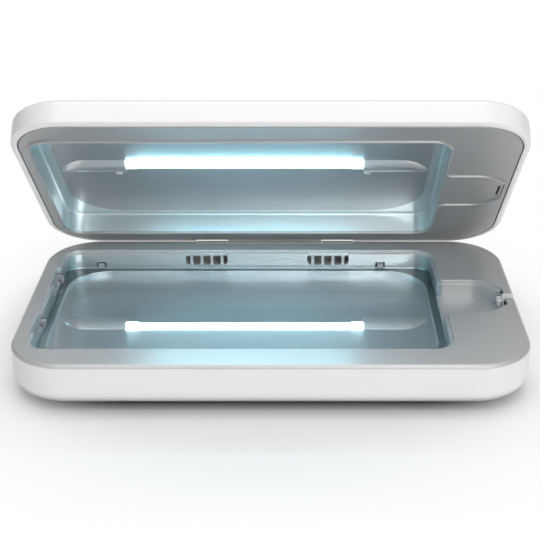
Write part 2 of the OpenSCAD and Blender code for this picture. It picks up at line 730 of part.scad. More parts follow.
module control_board() color(board_green) {
  board(control_y, control_l);
  chip = board_w / 3;
  translate([board_x - chip / 2, control_y - control_l / 5, board_z + board_t]) cube([chip, chip, board_t]);
  translate([board_x + board_w / 4, control_y + control_l / 6, board_z + board_t])
    cube([board_w / 7, control_l / 4, board_t]);
}

module driver_board() color(board_green) {
  board(driver_y, driver_l);
  translate([board_x - board_w / 3, driver_y - driver_l / 3, board_z + board_t])
    cube([board_w * 2 / 3, driver_l * 2 / 5, 4 * board_t]);
  for (s = [-1, 1]) translate([board_x + s * board_w / 5, driver_y + driver_l * 0.3, board_z + board_t])
    cylinder(r = board_w / 9, h = 3 * board_t);
}

// Charging ports and power inlet, seated against the inside of the rear wall
module charging_port_large() color(steel) {
  translate([port_a_x, 0, port_z]) difference() {
    union() {
      along_y(inner_y - 7, body_d / 2 - 0.4)
        square([port_a_hole[0] - 2 * port_fit, port_a_hole[1] - 2 * port_fit], center = true);
      along_y(inner_y - 7, inner_y) square([port_a_w, 7], center = true);
    }
    along_y(inner_y - 6, body_d / 2)
      square([port_a_hole[0] - 2 * port_fit - 1, port_a_hole[1] - 2 * port_fit - 0.9], center = true);
  }
  translate([port_a_x - 5, inner_y - 6.2, port_z + 0.2]) cube([10, 6.2, 1.2]);
}

module charging_port_small() color(steel) {
  translate([port_c_x, 0, port_z]) difference() {
    union() {
      along_y(inner_y - 6, body_d / 2 - 0.4) port_c_2d(0);
      along_y(inner_y - 6, inner_y) square([port_c_w, 5], center = true);
    }
    along_y(inner_y - 5, body_d / 2) port_c_2d(-0.4);
  }
  translate([port_c_x - 2.6, inner_y - 5.2, port_z - 0.35]) cube([5.2, 5.2, 0.7]);
}

module power_inlet() color(dark) {
  translate([inlet_x, 0, port_z]) difference() {
    union() {
      along_y(inner_y - 8.5, body_d / 2 - 0.4) circle(3.9);
      along_y(inner_y - 8.5, inner_y) square(inlet_w, center = true);
    }
    along_y(inner_y - 7.5, body_d / 2) circle(inlet_r);
  }
  translate([inlet_x, 0, port_z]) along_y(inner_y - 7.8, inner_y + 0.4) circle(0.8);
}

// Sensor under the front rim that tells whether the lid is closed
module lid_sensor() color(dark) {
  translate([magnet_x + 9, magnet_y - 2, rim_z - flange_t - 1.5]) cube([5, 4, 1.5]);
}

module base_magnets() color(steel) {
  for (s = [-1, 1]) translate([s * magnet_x, magnet_y, rim_z - flange_t + 0.6 - magnet_t])
    cylinder(r = magnet_r, h = magnet_t);
}

// Soft pad that the box rests on
module base_pad() color(dark) {
  linear_extrude(pad_t) plan_2d(pad_w, pad_d, 12);
}

// Four screws that join the base shell to its liner from below
module base_screws() color(steel) {
  at_screws() difference() {
    union() {
      translate([0, 0, foot_h + 0.6]) cylinder(r = screw_head_r, h = screw_head_h);
      translate([0, 0, foot_h + 1]) cylinder(r = screw_r, h = base_h - boss_split + 4);
    }
    for (a = [0, 90]) rotate(a) translate([-1.3, -0.3, 0]) cube([2.6, 0.6, foot_h + 1.3]);
  }
}

// White outer shell of the lid with the hinge barrel
module lid_shell() color(white) {
  opened() difference() {
    union() {
      difference() {
        dome(body_w, body_d, corner_r, lid_h, lid_bevel_w, lid_bevel_h, lid_edge_r, lid_side);
        translate([0, 0, -eps]) linear_extrude(flange_t + eps)
          plan_2d(body_w - 2 * lid_land, body_d - 2 * lid_land, corner_r - lid_land);
        translate([0, 0, -eps]) linear_extrude(flange_t + 1.5)
          plan_2d(body_w - 2 * lid_shelf, body_d - 2 * lid_shelf, corner_r - lid_shelf);
        translate([0, 0, lid_ledge])
          dome(2 * inner_x, 2 * inner_y, corner_r - shell_t, lid_h - lid_skin_t - lid_ledge, 0, 0,
               lid_edge_r - shell_t, lid_side + 0.4 - lid_ledge);
      }
      translate([0, hinge_y, lid_axis_z]) bar_x(-barrel_half, barrel_half, knuckle_r);
      translate([-barrel_half, body_d / 2 - lid_land, lid_axis_z])
        cube([2 * barrel_half, lid_land, lid_rise + 1]);
      translate([0, status_y, lid_h - lid_skin_t - 0.8]) cylinder(r = status_r + 1.2, h = 1);
    }
    for (s = [-1, 1]) translate([s * knuckle_mid, body_d / 2, 0])
      cube([knuckle_l + 0.6, 2 * (body_d / 2 - notch_y), 2.4], center = true);
    translate([0, hinge_y, lid_axis_z]) {
      bar_x(-barrel_half - 1, barrel_half + 1, pin_r + pin_fit);
      for (s = [0, 180]) rotate(s) translate([barrel_half, 0, 0]) bar_x(-sleeve_l, 1, sleeve_r);
    }
    translate([0, status_y, lid_h - 3]) cylinder(r = status_r + 0.05, h = 4);
  }
}

// Silver liner of the lid: rim, bead, cavity walls and floor
module lid_liner() color(silver) {
  inset = lid_land + seam;
  opened() {
    difference() {
      union() {
        linear_extrude(flange_t) plan_2d(body_w - 2 * inset, body_d - 2 * inset, corner_r - inset);
        linear_extrude(cavity_depth + 1) chamber_2d(step - lid_liner_t);
        for (s = [-1, 1]) translate([s * magnet_x, magnet_y, 0]) cylinder(r = magnet_r + 0.6, h = magnet_t + 1);
      }
      translate([0, 0, -1]) linear_extrude(cavity_depth + 1) chamber_2d(step);
      translate([lamp_x - lamp_l / 2 - 1.2, lamp_y - trough_r - reflector_t - 0.1, 0])
        cube([lamp_l + 2.4, 2 * (trough_r + reflector_t + 0.1), big]);
      translate([pocket_x1 - 3.8, pocket_y - 5, -1]) cube([1.3, 10, 1 + 1.2]);
      translate([pocket_x1 - 1.7, pocket_y - 7.6, -1]) cube([0.8, 15.2, 1 + 0.6]);
      for (s = [-1, 1]) translate([s * magnet_x, magnet_y, 1]) cylinder(r = magnet_r, h = big);
    }
    difference() {
      union() {
        bead_ring(0.3, 1.45, 0.5 * bead_h);
        bead_ring(0.45, 1.3, 0.8 * bead_h);
        bead_ring(0.6, 1.15, bead_h);
      }
      translate([chamber_x1 - step - 2, pocket_y - pocket_half + step, -5])
        cube([3, 2 * (pocket_half - step), 10]);
      translate([pocket_x1 - 3, pocket_y - pocket_end_half + 1, -5])
        cube([10, 2 * pocket_end_half - 2, 10]);
    }
  }
}

// Low ring between two insets of the opening, standing out of the lid's rim
module bead_ring(outer, inner, h) {
  translate([0, 0, -h]) linear_extrude(h) difference() {
    opening_2d(outer);
    opening_2d(inner);
  }
}

module lid_reflector() color(bright) {
  w = chamber_w - 2 * (step + reflector_border);
  d = chamber_y1 - chamber_y0 - 2 * (step + reflector_border);
  opened() translate([chamber_mid_x, chamber_mid_y, lid_panel_depth]) mirror([0, 0, 1])
    reflector_panel(w, d, reflector_r, upper_sink);
}

// Brass sleeves pressed into the barrel, which grip the hinge pin
module friction_sleeves() color([0.72, 0.58, 0.30]) {
  opened() translate([0, hinge_y, lid_axis_z]) for (s = [0, 180]) rotate(s) difference() {
    bar_x(barrel_half - sleeve_l, barrel_half, sleeve_r);
    bar_x(barrel_half - sleeve_l - 1, barrel_half + 1, pin_r + pin_fit);
  }
}

module lid_magnets() color(steel) {
  opened() for (s = [-1, 1]) translate([s * magnet_x, magnet_y, 1]) cylinder(r = magnet_r, h = magnet_t);
}

// Black strip in the lid that presses on the cable
module lid_cable_seal() color(dark) {
  opened() translate([pocket_x1 - 3.75, pocket_y - 4.95, 0.05]) cube([1.2, 9.9, 1.15]);
}

module status_light() color(white) {
  opened() translate([0, status_y, lid_h - lid_skin_t - 1]) cylinder(r = status_r, h = lid_skin_t + 1);
}

module status_board() color(board_green) {
  opened() translate([-6, status_y - 5, lid_h - lid_skin_t - 2]) cube([12, 10, 1]);
}

base_shell();
base_liner();
base_reflector();
clear_plate();
lower_lamp_tube();
lower_lamp_caps();
lower_cover_left();
lower_cover_right();
rear_vent_left();
rear_vent_right();
side_vent_front();
side_vent_rear();
plate_clips();
lamp_clips();
cable_guard();
hinge_pin();
control_board();
driver_board();
charging_port_large();
charging_port_small();
power_inlet();
lid_sensor();
base_magnets();
base_pad();
base_screws();
lid_shell();
lid_liner();
lid_reflector();
upper_lamp_tube();
upper_lamp_caps();
lamp_cover_left();
lamp_cover_right();
friction_sleeves();
lid_magnets();
lid_cable_seal();
status_light();
status_board();
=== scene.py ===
"""Looks, light and camera for an ultraviolet sanitizer box for phones.

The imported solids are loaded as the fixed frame. The rims, liners, lid shell and
lamp covers are drawn again as smooth surfaces with rounded edges, in millimetres
in the same frame, and every piece gets a procedural finish.
"""

import json
import logging
import math
from dataclasses import dataclass, field
from enum import Enum
from typing import Callable, Sequence

import bmesh
import bpy
import numpy as np
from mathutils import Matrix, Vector

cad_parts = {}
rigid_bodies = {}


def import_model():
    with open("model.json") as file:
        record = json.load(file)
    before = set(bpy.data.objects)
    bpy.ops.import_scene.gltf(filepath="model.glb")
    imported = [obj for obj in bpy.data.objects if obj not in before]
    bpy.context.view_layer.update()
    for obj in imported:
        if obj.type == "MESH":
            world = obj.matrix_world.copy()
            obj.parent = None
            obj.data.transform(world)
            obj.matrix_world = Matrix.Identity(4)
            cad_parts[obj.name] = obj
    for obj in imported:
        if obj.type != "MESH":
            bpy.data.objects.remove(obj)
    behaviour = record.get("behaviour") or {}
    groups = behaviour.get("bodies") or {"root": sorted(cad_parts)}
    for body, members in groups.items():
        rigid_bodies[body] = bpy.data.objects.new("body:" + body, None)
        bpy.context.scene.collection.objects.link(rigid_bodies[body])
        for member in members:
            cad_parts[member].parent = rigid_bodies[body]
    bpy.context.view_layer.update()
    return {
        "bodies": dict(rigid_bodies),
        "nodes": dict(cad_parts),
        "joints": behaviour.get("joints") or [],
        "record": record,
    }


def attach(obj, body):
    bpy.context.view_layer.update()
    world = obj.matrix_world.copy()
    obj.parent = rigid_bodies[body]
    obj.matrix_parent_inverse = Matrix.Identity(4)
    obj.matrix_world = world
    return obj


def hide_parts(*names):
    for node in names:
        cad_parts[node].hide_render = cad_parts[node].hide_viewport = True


LOG = logging.getLogger("sanitizer_box")
MM = 0.001

BODY_W, BODY_D, CORNER_R = 226.0, 133.0, 25.0
RIM_Z = 21.7
LID_H = 16.4
OPEN_DEG = 45.0
HINGE_Y, HINGE_Z = 65.0, 19.5
LID_RISE = 2.6
NOTCH_Y = 62.2
CHAMBER = (-106.5, 80.0, -51.1, 54.0)
CHAMBER_R = 10.0
CHAMBER_MID = (-13.25, 1.45)
POCKET_Y, POCKET_HALF, POCKET_END_HALF, POCKET_X1 = 1.2, 17.1, 8.8, 108.6
STEP = 1.5
LAMP_X, LAMP_Y, COVER_Y = -12.85, -7.8, -4.7
STATUS_Y = 37.0
COVERS = {"left": (-68.25, 31.45, -1.0), "right": (42.55, 30.65, 1.0)}
GRAIN_DEPTH = 0.0004
DUST = (0.62, 0.61, 0.59)
Feed = bpy.types.NodeSocket | float | Sequence


class Body(Enum):
    """The two rigid bodies of the box."""

    BASE = "base"
    LID = "lid"


class Surface(Enum):
    """The finishes of the box."""

    SHELL = "shell_white"
    LINER = "liner_silver"
    SHEET = "reflector_sheet"
    QUARTZ = "quartz"
    LAMP = "lamp_glass"
    # White end caps of the lamps, given a cyan glow as painted lamp light.
    GLOWING_CAP = "cap_white"
    SOFT_WHITE = "soft_white"
    SOFT_DARK = "soft_dark"
    STEEL = "steel"
    MAGNET = "magnet_plate"
    BRASS = "brass"
    BOARD = "circuit_board"
    BLACK = "black_plastic"
    LENS = "light_lens"
    # The liner's silver on the chamber walls, more metallic, with its colour brighter and cyan as painted lamp
    # light.
    LAMP_LIT_WALL = "polished_wall"
    LOW_LAMP = "low_lamp_glass"
    COVER = "cover_silver"
    # The liner's silver drawn darker on the lid as painted shade.
    SHADED_LID_RIM = "lid_rim_silver"
    # The soft white drawn grey on the plate clips as painted shade.
    SHADED_CLIP = "clip_grey"

    @property
    def slot(self) -> str:
        """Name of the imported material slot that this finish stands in."""
        stands_in = {Surface.LAMP_LIT_WALL: "liner_silver", Surface.COVER: "liner_silver", Surface.SHADED_LID_RIM: "liner_silver",
                     Surface.LOW_LAMP: "lamp_glass", Surface.SHADED_CLIP: "soft_white"}
        return stands_in.get(self, self.value)


# ---------------- outlines


def arc(cx: float, cy: float, r: float, a0: float, a1: float, n: int) -> np.ndarray:
    """Samples an arc: centre plus radius times (cos a, sin a), a running evenly.

    Args:
        cx, cy: Centre.
        r: Radius; negative for an arc whose outward vectors point to its centre.
        a0, a1: First and last angle in degrees.
        n: Number of points.

    Returns:
        Rows of x, y and the outward vector's x, y.
    """
    a = np.radians(np.linspace(a0, a1, n))
    u = np.column_stack((np.cos(a), np.sin(a)))
    return np.hstack((np.array([cx, cy]) + abs(r) * u, math.copysign(1.0, r) * u))


@dataclass(frozen=True)
class Loop:
    """A closed plan outline, anticlockwise, with an outward vector at each point."""

    rows: np.ndarray

    def angles(self, centre: np.ndarray) -> np.ndarray:
        """Direction of every point as seen from centre, in radians."""
        v = self.rows[:, :2] - centre
        return np.arctan2(v[:, 1], v[:, 0])

    def at(self, angles: np.ndarray, centre: np.ndarray) -> "Loop":
        """Reads the outline at given directions, where each ray meets its edge.

        Args:
            angles: Directions in radians.
            centre: Point that every part of the outline can be seen from.

        Returns:
            The outline with one point for each direction.
        """
        own = self.angles(centre)
        order = np.argsort(own)
        own, rows = own[order], self.rows[order]
        own = np.concatenate((own[-1:] - 2 * np.pi, own, own[:1] + 2 * np.pi))
        rows = np.vstack((rows[-1:], rows, rows[:1]))
        k = np.clip(np.searchsorted(own, angles, side="right") - 1, 0, len(own) - 2)
        p, q = rows[k, :2] - centre, rows[k + 1, :2] - centre
        d = np.column_stack((np.cos(angles), np.sin(angles)))
        top = p[:, 0] * d[:, 1] - p[:, 1] * d[:, 0]
        low = top - (q[:, 0] * d[:, 1] - q[:, 1] * d[:, 0])
        t = np.clip(top / np.where(np.abs(low) < 1e-12, 1.0, low), 0.0, 1.0)[:, None]
        normal = (1 - t) * rows[k, 2:] + t * rows[k + 1, 2:]
        normal /= np.maximum(np.linalg.norm(normal, axis=1, keepdims=True), 1e-9)
        return Loop(np.hstack((centre + (1 - t) * p + t * q, normal)))


def rounded_plan(x0: float, x1: float, y0: float, y1: float, r: float, n: int = 20) -> Loop:
    """Rectangle with four quarter arcs of radius r for its corners."""
    return Loop(np.vstack((
        arc(x1 - r, y0 + r, r, -90, 0, n), arc(x1 - r, y1 - r, r, 0, 90, n),
        arc(x0 + r, y1 - r, r, 90, 180, n), arc(x0 + r, y0 + r, r, 180, 270, n))))


def body_plan() -> Loop:
    """Outline of both halves."""
    w, d = BODY_W / 2, BODY_D / 2
    return rounded_plan(-w, w, -d, d, CORNER_R, 28)


def chamber_plan() -> Loop:
    """Outline of the chamber."""
    x0, x1, y0, y1 = CHAMBER
    return rounded_plan(x0, x1, y0, y1, CHAMBER_R)


def opening_plan() -> Loop:
    """Outline of the chamber and the cable pocket as one opening.

    The pocket leaves the chamber through two rounds that curve outwards, runs
    straight, bends on arcs of 14 mm and narrows at 42 degrees to its flat end.
    """
    x0, x1, y0, y1 = CHAMBER
    r, mouth, bend, turn, tip = CHAMBER_R, 2.0, 14.0, 42.0, 1.6
    slope = math.radians(turn)
    drop = POCKET_HALF - POCKET_END_HALF - bend * (1 - math.cos(slope))
    bend_x = POCKET_X1 - drop / math.tan(slope) - bend * math.sin(slope)
    lean = math.cos(slope) / (1 + math.sin(slope))
    low, high = POCKET_Y - POCKET_HALF, POCKET_Y + POCKET_HALF
    tip_x, tip_low = POCKET_X1 - tip, POCKET_Y - POCKET_END_HALF + tip * lean
    tip_high = POCKET_Y + POCKET_END_HALF - tip * lean
    return Loop(np.vstack((
        arc(tip_x, tip_high, tip, 0, 90 - turn, 6),
        arc(bend_x, high - bend, bend, 90 - turn, 90, 12),
        arc(x1 + mouth, high + mouth, -mouth, 270, 180, 10),
        arc(x1 - r, y1 - r, r, 0, 90, 20),
        arc(x0 + r, y1 - r, r, 90, 180, 20),
        arc(x0 + r, y0 + r, r, 180, 270, 20),
        arc(x1 - r, y0 + r, r, -90, 0, 20),
        arc(x1 + mouth, low - mouth, -mouth, 180, 90, 10),
        arc(bend_x, low + bend, bend, -90, turn - 90, 12),
        arc(tip_x, tip_low, tip, turn - 90, 0, 6))))


def matched(loops: Sequence[Loop], centre: Sequence[float]) -> list[Loop]:
    """Reads several outlines at one shared set of directions, so they can be lofted.

    Args:
        loops: Outlines, each seen whole from centre.
        centre: The point the directions start at.

    Returns:
        The outlines with the same number of points, in the same order.
    """
    c = np.array(centre, float)
    angles = np.sort(np.concatenate([loop.angles(c) for loop in loops]))
    angles = angles[np.concatenate(([True], np.diff(angles) > 2e-4))]
    return [loop.at(angles, c) for loop in loops]


# ---------------- profiles


def round_profile(cx: float, cz: float, r: float, a0: float, a1: float, n: int = 6) -> np.ndarray:
    """Arc in a profile: rows of inset and height, centre plus r times (cos a, sin a)."""
    return arc(cx, cz, r, a0, a1, n)[:, :2]


def rings(loop: Loop, profile: np.ndarray) -> np.ndarray:
    """Carries a profile along an outline.

    Args:
        loop: The outline.
        profile: Rows of inset and height.

    Returns:
        Array of profile rows by outline points by x, y, z.
    """
    xy = loop.rows[None, :, :2] - profile[:, 0, None, None] * loop.rows[None, :, 2:]
    z = np.broadcast_to(profile[:, 1, None, None], xy.shape[:2] + (1,))
    return np.concatenate((xy, z), axis=2)


@dataclass
class Skin:
    """Vertices and faces of a piece while it is put together, in millimetres."""

    verts: list[np.ndarray] = field(default_factory=list)
    faces: list[list[int]] = field(default_factory=list)

    def grid(self, points: np.ndarray, wrap_u: bool = False, wrap_v: bool = True) -> "Skin":
        """Adds a surface of two parameters given as a grid of points.

        Args:
            points: Array of u by v by x, y, z.
            wrap_u: Joins the last row to the first.
            wrap_v: Joins the last column to the first.

        Returns:
            This skin.
        """
        m, n = points.shape[:2]
        base = sum(len(v) for v in self.verts)
        i = np.arange(m if wrap_u else m - 1)[:, None]
        j = np.arange(n if wrap_v else n - 1)[None]
        i1, j1 = (i + 1) % m, (j + 1) % n
        quads = np.stack(np.broadcast_arrays(i * n + j, i * n + j1, i1 * n + j1, i1 * n + j), axis=-1)
        self.verts.append(points.reshape(-1, 3))
        self.faces += (quads.reshape(-1, 4) + base).tolist()
        return self

    def cap(self, ring: np.ndarray) -> "Skin":
        """Closes a ring of points with one flat face."""
        base = sum(len(v) for v in self.verts)
        self.verts.append(ring)
        self.faces.append((np.arange(len(ring)) + base).tolist())
        return self

    def tube(self, ring: np.ndarray, path: np.ndarray) -> "Skin":
        """Adds a closed solid: one flat ring of points repeated at each shift in path."""
        points = ring[None] + path[:, None]
        return self.grid(points).cap(points[0]).cap(points[-1])

    def moved(self, matrix: np.ndarray) -> "Skin":
        """Turns and shifts every point by a 4 by 4 matrix."""
        self.verts = [v @ matrix[:3, :3].T + matrix[:3, 3] for v in self.verts]
        return self


def lid_matrix() -> np.ndarray:
    """Matrix from the closed lid's own frame, rim at height zero, to the open lid."""
    a = math.radians(OPEN_DEG)
    turn = np.array([[1, 0, 0], [0, math.cos(a), math.sin(a)], [0, -math.sin(a), math.cos(a)]])
    out = np.eye(4)
    out[:3, :3] = turn
    out[:3, 3] = np.array([0, HINGE_Y, HINGE_Z]) + turn @ np.array([0, -HINGE_Y, LID_RISE])
    return out


def base_matrix() -> np.ndarray:
    """Matrix from the base's own frame, rim at height zero, to the standing base."""
    out = np.eye(4)
    out[2, 3] = RIM_Z
    return out


def block(x0: float, x1: float, y0: float, y1: float, z0: float, z1: float) -> Skin:
    """Closed block used to cut slots: a rectangle carried from z0 to z1."""
    ring = np.array([[x0, y0, 0], [x1, y0, 0], [x1, y1, 0], [x0, y1, 0]], float)
    return Skin().tube(ring, np.array([[0, 0, z0], [0, 0, z1]], float))


def to_mesh(skin: Skin, name: str) -> bpy.types.Mesh:
    """Makes a Blender mesh in metres, merges doubles and turns its faces outwards."""
    mesh = bpy.data.meshes.new(name)
    mesh.from_pydata((np.vstack(skin.verts) * MM).tolist(), [], skin.faces)
    work = bmesh.new()
    work.from_mesh(mesh)
    bmesh.ops.remove_doubles(work, verts=work.verts, dist=2e-6)
    bmesh.ops.dissolve_degenerate(work, edges=work.edges, dist=1e-6)
    bmesh.ops.recalc_face_normals(work, faces=work.faces)
    work.to_mesh(mesh)
    work.free()
    return mesh


def linked(name: str, data: bpy.types.ID) -> bpy.types.Object:
    """Makes an object of a mesh, light or camera and links it to the scene."""
    obj = bpy.data.objects.new(name, data)
    bpy.context.scene.collection.objects.link(obj)
    return obj


def cut(target: bpy.types.Object, cutters: Sequence[Skin]) -> None:
    """Cuts closed skins out of an object and keeps the result as its mesh.

    Args:
        target: The object to cut.
        cutters: Closed skins in the shared frame, in millimetres.
    """
    tools = []
    for k, skin in enumerate(cutters):
        tool = linked(f"cutter_{k}", to_mesh(skin, f"cutter_{k}"))
        modifier = target.modifiers.new(f"cut_{k}", "BOOLEAN")
        modifier.operation, modifier.solver, modifier.object = "DIFFERENCE", "EXACT", tool
        tools.append(tool)
    bpy.context.view_layer.update()
    shape = target.evaluated_get(bpy.context.evaluated_depsgraph_get())
    result = bpy.data.meshes.new_from_object(shape)
    target.modifiers.clear()
    target.data = result
    for tool in tools:
        bpy.data.objects.remove(tool)


def smooth(obj: bpy.types.Object, sharp_deg: float = 32.0) -> None:
    """Shades smoothly, with edges sharper than the angle kept and flats kept flat."""
    obj.data.shade_smooth()
    obj.data.set_sharp_from_angle(angle=math.radians(sharp_deg))
    weighted = obj.modifiers.new("flats", "WEIGHTED_NORMAL")
    weighted.keep_sharp = True
    weighted.weight = 80


def place(parts: Sequence[Skin], name: str, cutters: Sequence[Skin] = ()) -> bpy.types.Object:
    """Makes one object of closed parts, each cut on its own, and shades it.

    Args:
        parts: Closed skins in the shared frame, in millimetres.
        name: Name of the piece.
        cutters: Closed skins to cut out of every part.

    Returns:
        The new object.
    """
    whole = bmesh.new()
    for k, skin in enumerate(parts):
        part = linked(f"{name}_{k}", to_mesh(skin, f"{name}_{k}"))
        if cutters:
            cut(part, cutters)
        whole.from_mesh(part.data)
        bpy.data.objects.remove(part)
    mesh = bpy.data.meshes.new(name)
    whole.to_mesh(mesh)
    whole.free()
    obj = linked(name, mesh)
    smooth(obj)
    return obj


# ---------------- finishes


@dataclass
class Graph:
    """Nodes and links of one material, world or shader group."""

    tree: bpy.types.NodeTree

    def add(self, kind: str, inputs: dict | None = None, **options: object) -> bpy.types.Node:
        """Places a node, sets its options and feeds its inputs.

        Args:
            kind: Type of the node, without ShaderNode in front.
            inputs: A value or an output socket for each input, by name or number.
            **options: Settings of the node itself.

        Returns:
            The new node.
        """
        node = self.tree.nodes.new("ShaderNode" + kind)
        for key, value in options.items():
            setattr(node, key, value)
        self.feed(node, inputs or {})
        return node

    def feed(self, node: bpy.types.Node, inputs: dict) -> None:
        """Links each input that is given a socket and sets each that is given a value."""
        for key, value in inputs.items():
            if isinstance(value, bpy.types.NodeSocket):
                self.tree.links.new(value, node.inputs[key])
            else:
                node.inputs[key].default_value = value

    def times(self, first: Feed, second: Feed) -> bpy.types.NodeSocket:
        """Product of two numbers."""
        return self.add("Math", {0: first, 1: second}, operation="MULTIPLY").outputs[0]

    def ramp(self, value: Feed, given: Sequence = (0.0, 1.0), wanted: Sequence = (0.0, 1.0),
             **options: object) -> bpy.types.NodeSocket:
        """Maps a given range of numbers to the wanted one and holds its ends."""
        names = ("Value", "From Min", "From Max", "To Min", "To Max")
        return self.add("MapRange", dict(zip(names, (value, *given, *wanted))), **options).outputs["Result"]

    def place(self) -> bpy.types.NodeSocket:
        """Position in the object's own space, which is the shared frame."""
        return self.add("TexCoord").outputs["Object"]

    def noise(self, scale: Feed, detail: float) -> bpy.types.NodeSocket:
        """Noise in object space."""
        return self.add("TexNoise", {"Vector": self.place(), "Scale": scale, "Detail": detail}).outputs[0]

    def path(self, ray: str) -> bpy.types.NodeSocket:
        """One for rays of the named kind and zero for all others."""
        return self.add("LightPath").outputs[f"Is {ray} Ray"]

    def group(self, tree: bpy.types.NodeTree, **values: float) -> bpy.types.NodeSocket:
        """Places a shared group, sets its inputs and gives its output."""
        return self.add("Group", values, node_tree=tree).outputs[0]

    def mix(self, factor: bpy.types.NodeSocket, first: Feed, second: Feed) -> bpy.types.NodeSocket:
        """Mixes two colours, each a socket or red, green and blue."""
        pair = [c if isinstance(c, bpy.types.NodeSocket) else (*c, 1.0) for c in (first, second)]
        return self.add("Mix", {0: factor, 6: pair[0], 7: pair[1]}, data_type="RGBA").outputs[2]


class Effects:
    """Shader node groups that several finishes share."""

    def __init__(self) -> None:
        """Builds every group once."""
        whole = (0.0, 1.0)
        self.grain = self._grain()
        self.sheen = self._sheen()
        self.wear = self._mask("rubbed_edges", 220.0, 4.0, (whole, whole), self._rubbed)
        self.dust = self._mask("fine_dust", 90.0, 6.0, ((0.42, 0.75), whole), self._upward)
        # Painted shade: a mask that darkens closed-in places, read by ambient occlusion.
        self.corners = self._mask("painted_shade_in_corners", 160.0, 3.0, (whole, (0.85, 1.0)), self._closed)

    @staticmethod
    def _start(name: str, inputs: dict[str, float], output: str) -> tuple:
        """Makes an empty group: its graph, its input sockets and its output node."""
        tree = bpy.data.node_groups.new(name, "ShaderNodeTree")
        for key, value in inputs.items():
            socket = tree.interface.new_socket(name=key, in_out="INPUT", socket_type="NodeSocketFloat")
            socket.default_value = value
        tree.interface.new_socket(name=output, in_out="OUTPUT", socket_type="NodeSocketFloat")
        return Graph(tree), tree.nodes.new("NodeGroupInput").outputs, tree.nodes.new("NodeGroupOutput")

    def _grain(self) -> bpy.types.NodeTree:
        """Height of a moulded surface: fine grain plus slow waviness."""
        graph, given, sink = self._start("moulded_grain", {"Scale": 1800.0, "Wave": 0.35}, "Height")
        fine, slow = graph.noise(given["Scale"], 2.0), graph.noise(graph.times(given["Scale"], 0.02), 1.0)
        mixed = graph.add("Mix", {0: given["Wave"], 2: fine, 3: slow})
        graph.feed(sink, {"Height": mixed.outputs[0]})
        return graph.tree

    def _sheen(self) -> bpy.types.NodeTree:
        """Roughness that drifts between two values with handling smears."""
        graph, given, sink = self._start("uneven_sheen", {"Low": 0.3, "High": 0.4, "Scale": 40.0}, "Roughness")
        drift = graph.ramp(graph.noise(given["Scale"], 3.0), (0.3, 0.7), (given["Low"], given["High"]))
        graph.feed(sink, {"Roughness": drift})
        return graph.tree

    def _mask(self, name: str, scale: float, detail: float, patch: Sequence,
              shape: Callable[[Graph], bpy.types.NodeSocket]) -> bpy.types.NodeTree:
        """Makes a group for a mask: a shape times patches of noise times an amount.

        Args:
            name: Name of the group.
            scale: First value of the noise's scale.
            detail: Detail of the noise.
            patch: Range of the noise that is read, and the range it is mapped to.
            shape: Draws the shape.

        Returns:
            The group.
        """
        graph, given, sink = self._start(name, {"Amount": 0.5, "Scale": scale}, "Mask")
        noise = graph.ramp(graph.noise(given["Scale"], detail), *patch)
        graph.feed(sink, {"Mask": graph.times(graph.times(shape(graph), noise), given["Amount"])})
        return graph.tree

    @staticmethod
    def _rubbed(graph: Graph) -> bpy.types.NodeSocket:
        """Edges: where a rounded normal leaves the true one."""
        rounded = graph.add("Bevel", {"Radius": 0.0007}, samples=3).outputs["Normal"]
        true = graph.add("NewGeometry").outputs["Normal"]
        same = graph.add("VectorMath", {0: rounded, 1: true}, operation="DOT_PRODUCT")
        return graph.ramp(same.outputs["Value"], (0.97, 0.75))

    @staticmethod
    def _upward(graph: Graph) -> bpy.types.NodeSocket:
        """Faces that look up."""
        normal = graph.add("NewGeometry").outputs["Normal"]
        return graph.ramp(graph.add("SeparateXYZ", {0: normal}).outputs["Z"], (0.3, 0.95))

    @staticmethod
    def _closed(graph: Graph) -> bpy.types.NodeSocket:
        """Closed-in places, read by ambient occlusion, where the colour is darkened as painted shade."""
        around = graph.add("AmbientOcclusion", {"Distance": 0.014}, samples=6)
        return graph.ramp(around.outputs["AO"], (0.6, 0.12))


